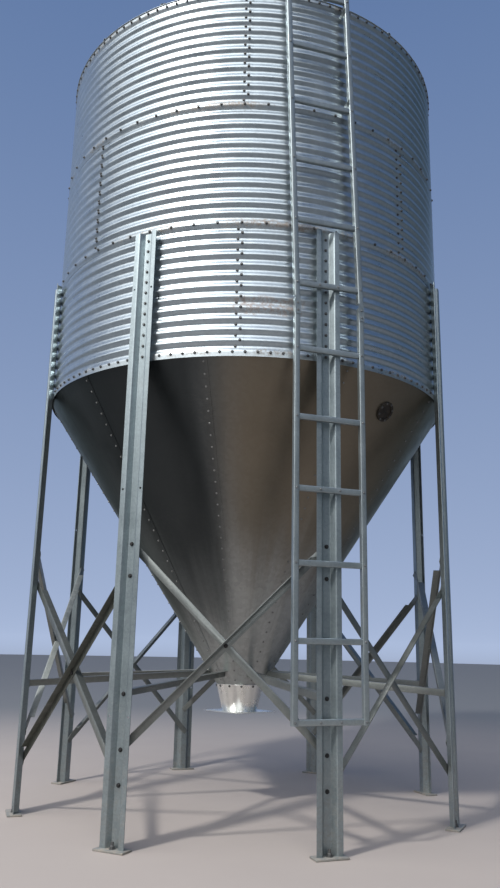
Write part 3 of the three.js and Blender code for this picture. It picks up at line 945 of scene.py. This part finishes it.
# hex bolts set on the points of a host, each facing along its stored outward direction
boltInputs = (
    "Head Radius", "Head Height", "Chamfer", "Washer Radius", "Washer Height", "Seal Radius", "Seal Height",
)
boltKinds = {
    "sheet": (0.0065, 0.0046, 0.0012, 0.0080, 0.0013, 0.0090, 0.0014),
    "panel": (0.0052, 0.0036, 0.0009, 0.0066, 0.0010, 0.0, 0.0),
    "frame": (0.0073, 0.0052, 0.0012, 0.0088, 0.0016, 0.0, 0.0),
    "brace": (0.0098, 0.0062, 0.0014, 0.0118, 0.0018, 0.0, 0.0),
    "ladder": (0.0058, 0.0030, 0.0008, 0.0078, 0.0010, 0.0, 0.0),
    "anchor": (0.0135, 0.0120, 0.0020, 0.0175, 0.0030, 0.0, 0.0),
}


def makeBoltTree():
    tree, given, result = newTree("hexBolts", "GeometryNodeTree", {
        "Geometry": "Geometry", **dict(zip(boltInputs, boltKinds["sheet"])),
        "Seed": 5, "Metal": "Material", "Seal": "Material",
    }, ["Geometry"])

    def disc(sides, radius, height, foot, top=lambda drum: drum):
        inputs = {"Vertices": sides, "Radius": radius, "Depth": height}
        drum = addNode(tree, "GeometryNodeMeshCylinder", inputs, fill_type="NGON")
        lift = joined(0.0, 0.0, plus(foot, times(height, 0.5)))
        return addNode(tree, "GeometryNodeTransform", {"Geometry": top(drum), "Translation": lift})

    def chamfered(drum):
        faceShare = 0.82
        draw = {"Mesh": drum, "Selection": drum.outputs["Top"], "Offset Scale": given["Chamfer"]}
        drawn = addNode(tree, "GeometryNodeExtrudeMesh", draw, mode="FACES")
        narrow = {"Geometry": drawn, "Selection": drawn.outputs["Top"], "Scale": faceShare}
        return addNode(tree, "GeometryNodeScaleElements", narrow)

    def named(label, kind):
        node = addNode(tree, "GeometryNodeInputNamedAttribute", {"Name": label}, data_type=kind)
        return node.outputs["Attribute"]

    seal = disc(12, given["Seal Radius"], given["Seal Height"], 0.0)
    mark = {"Geometry": seal, "Name": "isSeal", "Value": True}
    marked = addNode(tree, "GeometryNodeStoreNamedAttribute", mark, data_type="BOOLEAN", domain="FACE")
    washer = disc(12, given["Washer Radius"], given["Washer Height"], given["Seal Height"])
    headFoot = plus(given["Seal Height"], given["Washer Height"])
    head = disc(6, given["Head Radius"], given["Head Height"], headFoot, chamfered)
    bolt = joinMeshes(marked, washer, head)

    align = {"Vector": named("outward", "FLOAT_VECTOR")}
    facing = addNode(tree, "FunctionNodeAlignRotationToVector", align, axis="Z")
    anyTurn = addNode(tree, "FunctionNodeRandomValue", {"Seed": given["Seed"]}, data_type="FLOAT")
    limits = [socket for socket in anyTurn.inputs if socket.type == "VALUE" and socket.enabled]
    limits[1].default_value = math.radians(60)    # a hexagon looks the same after this turn
    turn = [socket for socket in anyTurn.outputs if socket.enabled][0]
    spin = addNode(tree, "FunctionNodeAxisAngleToRotation", {"Angle": turn})
    turned = addNode(tree, "FunctionNodeRotateRotation", [facing, spin], rotation_space="LOCAL")
    place = {"Points": given["Geometry"], "Instance": bolt, "Rotation": turned}
    metal = paintMesh(addNode(tree, "GeometryNodeInstanceOnPoints", place), given["Metal"])
    rubber = {"Geometry": metal, "Selection": named("isSeal", "BOOLEAN"), "Material": given["Seal"]}
    feed(result["Geometry"], addNode(tree, "GeometryNodeSetMaterial", rubber))
    return tree


boltTree = makeBoltTree()


def setBolts(name, spots, kind, slotName, seed, metal="bolt"):
    # spots are pairs of a foot point and the direction that the head faces
    piece = newPiece(name, [spot for spot, outward in spots])
    stored = piece.data.attributes.new("outward", "FLOAT_VECTOR", "POINT")
    stored.data.foreach_set("vector", [part for spot, outward in spots for part in outward])
    sizes = dict(zip(boltInputs, boltKinds[kind]))
    bakeTree(piece, boltTree, {**sizes, "Seed": seed, "Metal": zinc[metal], "Seal": washerRubber})
    settle(piece, slotName)


wallBolts = {
    "seamOffset": 0.013,
    "ringCount": 60,
    "rimCount": 120,
    "skirtCount": 120,
    "skirtHeight": 2.606,
    "legHalfAngle": 2.6,
    "legTop": 3.40,
}


def underLeg(azimuth, height):
    nearest = (azimuth + legStep / 2) % legStep - legStep / 2
    return abs(nearest) < wallBolts["legHalfAngle"] and height < wallBolts["legTop"]


def makeWallBolts(look):
    crest, trough = silo["crestRadius"], silo["crestRadius"] - silo["grooveDepth"]
    seams = []
    for level in range(silo["rings"]):
        for number in range(silo["sheetsPerRing"]):
            azimuth = silo["seamAngles"][level] + sheetStep * number
            for groove in range(silo["groovesPerRing"]):
                height = ringCrests[level] + silo["pitch"] * groove
                middle = height + silo["pitch"] / 2
                seams.append(boltSpot(azimuth, trough, middle, -look["seamOffset"]))
                if groove:
                    seams.append(boltSpot(azimuth, crest, height, look["seamOffset"]))
    setBolts("wall_seam_bolts", seams, "sheet", "wall_sheet", seed=11)
    rings = []
    counts = (look["ringCount"], look["ringCount"], look["rimCount"], look["skirtCount"])
    for height, count in zip((*ringCrests[1:], look["skirtHeight"]), counts):
        for number in range(count):
            azimuth = 360.0 * (number + 0.5) / count
            if not underLeg(azimuth, height):
                rings.append(boltSpot(azimuth, crest, height))
    setBolts("wall_ring_bolts", rings, "sheet", "wall_sheet", seed=12)


makeWallBolts(wallBolts)
hopperBolts = {"pitch": 0.073, "first": 0.775, "last": 2.56}


def makeHopperBolts(look):
    reach = look["last"] - look["first"]
    rows = round(reach / (look["pitch"] * math.cos(math.radians(hopperTilt))))
    spots = []
    for number in range(hopper["panels"]):
        azimuth = hopper["seam"] + panelStep * number
        for row in range(rows + 1):
            height = look["first"] + reach * row / rows
            spots.append(boltSpot(azimuth, hopperRadius(height), height, rise=-hopperTilt))
    setBolts("hopper_seam_bolts", spots, "panel", "hopper_sheet", seed=13, metal="panelBolt")


makeHopperBolts(hopperBolts)
print("sheet bolts set")


# legs: hat sections bent from plate, with foot plates, holes, bolts and anchor studs
leg = {
    "halfWeb": 0.024,
    "halfMouth": 0.043,
    "halfLeg": 0.072,
    "webInner": 1.3783,
    "lipFront": 1.4163,
    "thickness": 0.004,
    "bend": 0.0065,
    "top": 3.390,
    "holes": (1.529, 1.357, 0.747, 0.472, 0.302),
    "holeRadius": 0.008,
    "lipHoles": (0.636, 1.830, 3.024),
    "lipHoleOffset": 0.0575,
    "lipHoleRadius": 0.0065,
    "plateHalfWidth": 0.090,
    "plateReach": (1.366, 1.450),    # its near and far edge from the axis
    "plateThickness": 0.010,
    "plateRounding": 0.0012,
    "anchor": 1.408,
    "studHeight": 0.034,
    "studRadius": 0.008,
}


def legSection(look):
    half = look["thickness"] / 2
    web, lip = -(look["webInner"] + half), -(look["lipFront"] - half)
    spread = (look["halfMouth"] - look["halfWeb"]) / (look["lipFront"] - look["thickness"] - look["webInner"])
    webCorner = look["halfWeb"] + half * (spread - math.hypot(1, spread))
    lipCorner = webCorner + spread * (web - lip)
    rightHalf = [(webCorner, web), (lipCorner, lip), (look["halfLeg"], lip)]
    path = [(-x, y) for x, y in reversed(rightHalf)] + rightHalf
    pairs = bendStrip(path, look["thickness"], look["bend"], steps=5)
    section = solidPiece("leg_section", [stripShape(pairs, look["plateThickness"], look["top"])], zinc["leg"])
    aside = (-look["lipHoleOffset"], look["lipHoleOffset"])
    holes = [((0, web, z), look["holeRadius"]) for z in look["holes"]]
    holes += [((x, lip, z), look["lipHoleRadius"]) for z in look["lipHoles"] for x in aside]
    reach = Vector((0, drillReach, 0))
    drill(section, [barShape(Vector(spot) - reach, Vector(spot) + reach, radius) for spot, radius in holes])
    smoothShade(section, 30)
    return section


def legPlate(look):
    (near, far), wide = look["plateReach"], look["plateHalfWidth"]
    block = boxShape((-wide, -far, 0.0), (wide, -near, look["plateThickness"]))
    plate = solidPiece("leg_plate", [block], zinc["plate"])
    roundEdges(plate, look["plateRounding"])
    smoothShade(plate, 30)
    return plate


def makeLegs(look):
    parts = {"section": legSection(look), "plate": legPlate(look)}
    outside = look["webInner"] + look["thickness"]
    grooveHeights = [silo["firstCrest"] + silo["pitch"] * groove for groove in range(silo["groovesPerRing"])]
    webBolts, braceBolts, anchors = [], [], []
    for number in range(silo["legs"]):
        azimuth = legStep * number
        for word, part in parts.items():
            mesh = part.data.copy()
            mesh.transform(turnTo(azimuth))
            mesh.name = f"leg_{word}_{number + 1}"
            settle(linkPiece(mesh.name, mesh), "leg_metal", f"leg_{number + 1}")
        webBolts += [boltSpot(azimuth, outside, height) for height in grooveHeights]
        braceBolts += [boltSpot(azimuth, outside, height) for height in look["holes"]]
        anchors.append((onAxis(azimuth, look["anchor"], look["plateThickness"]), Vector((0, 0, 1))))
    for part in parts.values():
        bpy.data.objects.remove(part)
    setBolts("leg_web_bolts", webBolts, "frame", "leg_metal", seed=21)
    setBolts("leg_brace_bolts", braceBolts, "brace", "leg_metal", seed=28, metal="blackBolt")
    setBolts("leg_anchor_nuts", anchors, "anchor", "leg_metal", seed=22)
    rise = Vector((0, 0, look["studHeight"]))
    studs = [barShape(spot, spot + rise, look["studRadius"], sides=12) for spot, outward in anchors]
    settle(solidPiece("leg_anchor_studs", studs, zinc["bolt"]), "leg_metal")


makeLegs(leg)
print("legs bent and bolted")


# crossed bars in each bay and the struts to the outlet; one bay's outer bar gets a darker colour, a painted
# shade
crossing = {
    "radius": 1.2828,
    "split": 1.27865,
    "bend": 0.45,
    "holePairs": ((0, 3), (1, 4)),    # a bay's bars run between these leg holes, in turn
    "shadedBay": 8,
    "barRounding": 0.0012,
    "strutRounding": 0.001,
}


def shadeOuterBar(piece, azimuth, middle):
    # the outer bar of a bay runs down from its right leg to its left one, in front of the other bar
    # the outer bar's faces take the dark material, a painted shade
    piece.data.materials.append(zinc["shadedOuterBrace"])
    outward, along = outwardAt(azimuth), outwardAt(azimuth + 90.0)
    for face in piece.data.polygons:
        across = face.center.dot(along)
        if abs(across) > crossing["bend"]:
            outer = (across > 0) == (face.center.z > middle)
        else:
            outer = face.center.dot(outward) > crossing["split"]
        face.material_index = int(outer)


def makeBraces(look):
    bolts = []
    for number in range(1, silo["legs"] + 1):
        azimuth = legStep * (number - 1.5)
        upper, lower = look["holePairs"][(number - 1) % 2]
        middle = (leg["holes"][upper] + leg["holes"][lower]) / 2
        names = f"brace_{number}", f"brace_bars_{number}"
        bars = roundedCopy(*names, look["barRounding"], zinc["brace"], "brace_metal")
        if number == look["shadedBay"]:
            shadeOuterBar(bars, azimuth, middle)
        names = f"strut_{number}", f"strut_bar_{number}"
        roundedCopy(*names, look["strutRounding"], zinc["brace"], "brace_metal")
        bolts.append(boltSpot(azimuth, look["radius"], middle))
    setBolts("brace_cross_bolts", bolts, "brace", "brace_metal", seed=23, metal="blackBolt")


makeBraces(crossing)
print("braces and struts rounded")


# ladder: channel rails, channel rungs with tongues behind the rails' fronts, spacers, tabs and bolts
ladder = {
    "centre": 0.200,
    "halfWidth": 0.016,
    "depth": 0.028,
    "thickness": 0.0028,
    "bend": 0.0030,
    "front": 1.440,
    "upperFront": 1.4431,
    "halfRung": 0.016,
    "rungDepth": 0.020,
    "firstRung": 0.636,
    "rungPitch": 0.398,
    "rungsEach": 6,
    "lowerRail": (0.620, 2.920),    # foot and head
    "upperRail": (2.940, 5.120),
    "lap": 2.830,
    "lapBolts": (0.022, 0.066),
    "spacer": leg["lipHoleOffset"],
    "spacerRadius": 0.009,
    "spacerRungs": {"lower": (0, 3), "upper": (0,)},
    "legGap": 0.0003,
    "rungGap": 0.001,
    "rungSink": 0.0001,
    "tongueLap": 0.0005,
    "lean": -1.95,
    "pivot": 2.880,
    "tabHeights": (4.27775, 4.94525),
    "tabHalf": 0.020,
    "tabThickness": 0.004,
    "tabSink": 0.001,
    "tabEnd": 1.3662,
}


def ladderSection(look, part):
    lower = part == "lower"
    front = look["front"] if lower else look["upperFront"]
    back = look["front"] - look["depth"]
    thick, half = look["thickness"], look["thickness"] / 2
    bottom, top = look["lowerRail"] if lower else look["upperRail"]
    shapes, bolts = [], []

    def addChannel(path, low, high, upright):
        shapes.append(stripShape(bendStrip(path, thick, look["bend"]), low, high, upright))

    def addBolt(x, z, y=-front):
        bolts.append((Vector((x, y, z)), Vector((0, -1, 0))))

    for side in (-1, 1):
        left = side * look["centre"] - look["halfWidth"] + half
        right = side * look["centre"] + look["halfWidth"] - half
        path = [(left, -back), (left, -(front - half)), (right, -(front - half)), (right, -back)]
        addChannel(path, bottom, top, True)
        if not lower:
            low, high = (left - half, -front, look["lap"]), (right + half, -(front - thick), bottom)
            shapes.append(boxShape(low, high))
    reach = look["centre"] + look["halfWidth"] / 2
    clear = look["centre"] - look["halfWidth"] - look["rungGap"]
    face = front - thick - look["rungSink"]
    hind = face - look["rungDepth"]
    for number in range(look["rungsEach"]):
        z = look["firstRung"] + look["rungPitch"] * (number + (0 if lower else look["rungsEach"]))
        low, high = z - look["halfRung"], z + look["halfRung"]
        fore, under, over = -(face - half), low + half, high - half
        addChannel([(-hind, under), (fore, under), (fore, over), (-hind, over)], -clear, clear, False)
        for side in (-1, 1):
            ends = sorted((side * (clear - look["tongueLap"]), side * reach))
            shapes.append(boxShape((ends[0], -face, low), (ends[1], -(face - thick), high)))
            addBolt(side * look["centre"], z)
        if number in look["spacerRungs"][part]:
            for x in (-look["spacer"], look["spacer"]):
                foot = (x, -(leg["lipFront"] + look["legGap"]), z)
                shapes.append(barShape(foot, (x, -(face - thick), z), look["spacerRadius"]))
                addBolt(x, z, -face)
    if not lower:
        for side in (-1, 1):
            for rise in look["lapBolts"]:
                addBolt(side * look["centre"], look["lap"] + rise)
            inner = side * (look["centre"] - look["halfWidth"])
            ends = sorted((inner, inner + side * look["tabThickness"]))
            for z in look["tabHeights"]:
                low, high = z - look["tabHalf"], z + look["tabHalf"]
                fore = -(front - look["tabSink"])
                shapes.append(boxShape((ends[0], fore, low), (ends[1], -look["tabEnd"], high)))
    return shapes, bolts


def makeLadder(look):
    home = Matrix.Translation((0, axisY, 0))
    toPivot = Matrix.Translation((0, 0, look["pivot"]))
    lean = toPivot @ Matrix.Rotation(math.radians(look["lean"]), 4, "Y") @ toPivot.inverted()
    allBolts = []
    for part, place in (("lower", home), ("upper", home @ lean)):
        shapes, bolts = ladderSection(look, part)
        piece = solidPiece(f"ladder_{part}_section", shapes, zinc["ladder"], place)
        settle(piece, "ladder_metal", f"ladder_{part}", smooth=30)
        turn = place.to_3x3()
        allBolts += [(place @ spot, turn @ outward) for spot, outward in bolts]
    setBolts("ladder_bolts", allBolts, "ladder", "ladder_metal", seed=24, metal="ladderBolt")


makeLadder(ladder)
print("ladder made")


# roof: panels with raised ribs, an eave ring, the filler collar and its lid
roof = {
    "footHeight": 5.0320,
    "footRadius": 1.380,
    "eave": (1.357, 1.3845, 5.0292, 5.0318),    # inner and outer radius, underside and top
    "boltRows": (1.345, 0.95, 0.55),    # radii
    "Panels": 16,
    "Foot": 1.3825,
    "Hole": 0.2925,
    "Slope": math.tan(math.radians(30)),
    "Rib Width": 0.046,
    "Rib Height": 0.016,
    "Thickness": 0.0016,
}


def roofHeight(radius):
    return roof["footHeight"] + (roof["footRadius"] - radius) * roof["Slope"]


def makeRoofTree():
    tree, given, result = newTree("roofPanels", "GeometryNodeTree", {
        "Foot": 1.38, "Hole": 0.29, "Slope": 0.577, "Foot Height": 5.0, "Rib Width": 0.04,
        "Rib Height": 0.015, "Thickness": 0.0015, "Panels": 16, "Material": "Material",
    }, ["Geometry"])
    columns, rows, ribRise, ribFall = 21, 14, (0.05, 0.18), (0.32, 0.45)
    grid, across, along = unitGrid(tree, columns, rows)
    step = calc("DIVIDE", 2 * math.pi, given["Panels"])
    radius = remap(along, 0.0, 1.0, given["Hole"], given["Foot"])
    ribTurn = calc("DIVIDE", given["Rib Width"], radius)
    # the first half of the columns runs over the rib and the rest over the flat
    overRib = remap(across, 0.0, 0.5, times(ribTurn, -0.5), times(ribTurn, 0.5))
    angle = plus(overRib, remap(across, 0.5, 1.0, 0.0, minus(step, ribTurn)))
    rib = times(ease(across, *ribRise, 0.0, 1.0), ease(across, *ribFall, 1.0, 0.0), given["Rib Height"])
    height = calc("MULTIPLY_ADD", minus(given["Foot"], radius), given["Slope"], given["Foot Height"])
    skin = wrap(grid, radius, angle, plus(height, rib), 0.0)
    panel = thicken(skin, given["Thickness"], skinInside=True)
    ring = addNode(tree, "GeometryNodeMeshLine", {"Count": given["Panels"], "Offset": (0.0, 0.0, 0.0)})
    turn = joined(0.0, 0.0, times(addNode(tree, "GeometryNodeInputIndex").outputs[0], step))
    place = {"Points": ring, "Instance": panel, "Rotation": turn}
    placed = addNode(tree, "GeometryNodeInstanceOnPoints", place)
    shift = {"Geometry": placed, "Translation": (0.0, axisY, 0.0)}
    feed(result["Geometry"], paintMesh(addNode(tree, "GeometryNodeTransform", shift), given["Material"]))
    return tree


def makeRoof(look):
    values = {**look, "Foot Height": roofHeight(look["Foot"]), "Material": zinc["roof"]}
    panels = bakeTree(newPiece("roof_panels"), makeRoofTree(), values)
    settle(panels, "roof_sheet", "roof", smooth=40)
    inner, outer, low, high = look["eave"]
    eave = [
        (inner, low), (outer - 0.001, low), (outer, low + 0.0008), (outer, high - 0.0008),
        (outer - 0.001, high), (inner, high),
    ]
    turnedPiece("roof_eave", eave, 120, zinc["roof"], "roof_sheet", "roof")
    spots = []
    tilt = 90.0 - math.degrees(math.atan(look["Slope"]))
    for number in range(look["Panels"]):
        azimuth = 360.0 * number / look["Panels"]
        for radius in look["boltRows"]:
            height = roofHeight(radius) + look["Rib Height"] + look["Thickness"]
            spots.append(boltSpot(azimuth, radius, height, rise=tilt))
    setBolts("roof_rib_bolts", spots, "sheet", "roof_sheet", seed=25)


makeRoof(roof)
print("roof made")


filler = {
    "hole": 0.292,
    "collar": (0.2928, 0.2948),    # inner and outer radius
    "skirt": 0.340,
    "overRoof": 0.0196,
    "wall": 0.0018,
    "rise": 0.100,
    "lidInner": 0.2953,
    "lidDrop": 0.025,
    "lidRise": 0.045,
    "lidThickness": 0.0022,
    "handleHalf": 0.070,
    "handleBar": 0.006,
    "handleTop": 0.042,
    "handleFoot": 0.014,
}


def makeFiller(look):
    (inner, outer), skirt, thin = look["collar"], look["skirt"], look["wall"]
    seat, foot = (roofHeight(radius) + look["overRoof"] for radius in (skirt, outer))
    top = roofHeight(look["hole"]) + look["rise"]
    collar = [
        (inner, foot), (skirt - 0.001, seat), (skirt, seat + thin * 0.6), (skirt - 0.002, seat + thin),
        (outer + 0.010, foot + thin - 0.004), (outer + 0.003, foot + thin + 0.001),
        (outer, foot + thin + 0.006), (outer, top - 0.001), (inner, top - 0.001),
    ]
    turnedPiece("filler_collar_ring", collar, 96, zinc["roof"], "roof_sheet", "filler_collar", smooth=35)

    # the lid's underside from the middle outwards, its rim, and its top back to the middle
    under, hem, lidInner, thin = top + 0.0003, top - look["lidDrop"], look["lidInner"], look["lidThickness"]
    rim, peak = lidInner + 0.0020, under + look["lidRise"]
    shoulder = peak - look["lidRise"] * 0.30
    lid = [
        (0.0, peak), (lidInner * 0.35, shoulder), (lidInner - 0.010, under + 0.0022), (lidInner, under),
        (lidInner, hem), (rim, hem), (rim + 0.0006, hem + 0.003), (rim, hem + 0.006), (rim, under - 0.001),
        (rim - 0.003, under + 0.0035), (lidInner - 0.012, under + 0.0058), (lidInner * 0.35, shoulder + thin),
        (0.0, peak + thin),
    ]
    bar, grip = look["handleBar"], peak + look["handleTop"] - look["handleBar"]
    end, foot = look["handleHalf"] - bar, peak - look["handleFoot"]
    handle = [barShape((-end, 0, grip), (end, 0, grip), bar)]
    handle += [barShape((x, 0, foot), (x, 0, grip), bar) for x in (-end, end)]
    turnedPiece("filler_lid_cover", lid, 96, zinc["roof"], "roof_sheet", "filler_lid", extras=handle)


makeFiller(filler)
print("filler made")


# outlet boot with its bolts, and the drilled flange under it
outlet = {
    "bottomRadius": 0.114,
    "bottom": 0.5743,
    "top": 0.745,
    "thickness": 0.0018,
    "bolts": 12,
    "boltHeight": 0.7345,
    "boltSink": 0.002,
    "fitGap": 0.0003,
    "flangeHalf": 0.170,
    "flange": (0.570, 0.574),    # underside and top
    "flangeHole": 0.113,
    "flangeTurn": 22.5,
    "flangeHoleRadius": 0.0055,
    "flangeHoleLine": 0.155,
}


def makeOutlet(look):
    thick, bottom, top = look["thickness"], look["bottom"], look["top"]
    bottomRadius, topRadius = look["bottomRadius"], hopperRadius(top) + look["fitGap"]
    shell = [
        (bottomRadius, bottom), (bottomRadius + thick + 0.0008, bottom),
        (bottomRadius + thick, bottom + 0.002), (topRadius + thick, top - 0.001),
        (topRadius + thick - 0.0004, top), (topRadius, top),
    ]
    turnedPiece("outlet_boot_shell", shell, 80, zinc["boot"], "outlet_metal", "outlet_boot")
    tilt = math.degrees(math.atan2(topRadius - bottomRadius, top - bottom))
    spots = []
    for number in range(look["bolts"]):
        azimuth = 360.0 * (number + 0.5) / look["bolts"]
        spots.append(boltSpot(azimuth, topRadius + thick - look["boltSink"], look["boltHeight"], rise=-tilt))
    setBolts("outlet_boot_bolts", spots, "ladder", "outlet_metal", seed=26)

    half, line, (low, high) = look["flangeHalf"], look["flangeHoleLine"], look["flange"]
    block = boxShape((-half, -half, low), (half, half, high))
    plate = solidPiece("outlet_flange_plate", [block], zinc["boot"])
    foot, head = low - drillReach, high + drillReach
    spots = []
    for edge in (-line, line):
        spots += [(share * line, edge) for share in (-1.0, -0.5, 0.0, 0.5, 1.0)]
        spots += [(edge, share * line) for share in (-0.5, 0.0, 0.5)]
    bars = [barShape((0, 0, foot), (0, 0, head), look["flangeHole"], sides=64)]
    bars += [barShape((x, y, foot), (x, y, head), look["flangeHoleRadius"], sides=14) for x, y in spots]
    drill(plate, bars)
    plate.data.transform(turnTo(look["flangeTurn"]))
    settle(plate, "outlet_metal", "outlet_flange", smooth=30)


makeOutlet(outlet)
print("outlet made")


# sight window: rim ring, recessed pane and screws
window = {
    "azimuth": 23.7,
    "height": 2.408,
    "radius": 0.064,
    "pane": 0.046,
    "rim": 0.0118,
    "recess": 0.0055,
    "screws": 8,
    "screwCircle": 0.0550,
    "rimPaint": ((0.018, 0.016, 0.013), (0.045, 0.038, 0.030), (0.55, 0.7)),    # dark, light, roughness
    "panePaint": ((0.010, 0.009, 0.007), (0.040, 0.032, 0.024), (0.3, 0.5)),
}


def windowMaterial(name, dark, light, gloss):
    material, shader, vector = newMaterial(name)
    mottle = remap(noiseOf(vector, 42.0, detail=4.0), 0.35, 0.65)
    feed(shader["Base Color"], blendColour(mottle, dark, light))
    feed(shader["Roughness"], remap(mottle, 0.0, 1.0, *gloss))
    feed(shader["Specular IOR Level"], 0.25)
    return material


def makeWindow(look):
    outward = outwardAt(look["azimuth"], -hopperTilt)
    turn = outward.to_track_quat("Z", "Y").to_matrix().to_4x4()
    place = Matrix.Translation(onAxis(look["azimuth"], hopperRadius(look["height"]), look["height"])) @ turn
    outer, inner, rim, paneTop = look["radius"], look["pane"], look["rim"], look["rim"] - look["recess"]
    ring = [
        (inner, -0.008), (outer, -0.008), (outer, rim - 0.003), (outer - 0.001, rim - 0.0012),
        (outer - 0.003, rim), (inner + 0.002, rim), (inner, rim - 0.002),
    ]
    pane = [(0.0, -0.004), (inner + 0.001, -0.004), (inner + 0.001, paneTop), (0.0, paneTop)]
    for part, profile, paint in (("rim", ring, look["rimPaint"]), ("pane", pane, look["panePaint"])):
        material = windowMaterial(f"window{part.title()}", *paint)
        turnedPiece(f"sight_window_{part}", profile, 56, material, "sight_window", "sight_window", place=place)
    spots = []
    for number in range(look["screws"]):
        angle = 2 * math.pi * (number + 0.5) / look["screws"]
        spot = Vector((look["screwCircle"] * math.cos(angle), look["screwCircle"] * math.sin(angle), rim))
        spots.append((place @ spot, outward))
    setBolts("sight_window_screws", spots, "ladder", "sight_window", seed=27)


makeWindow(window)
print("sight window made")
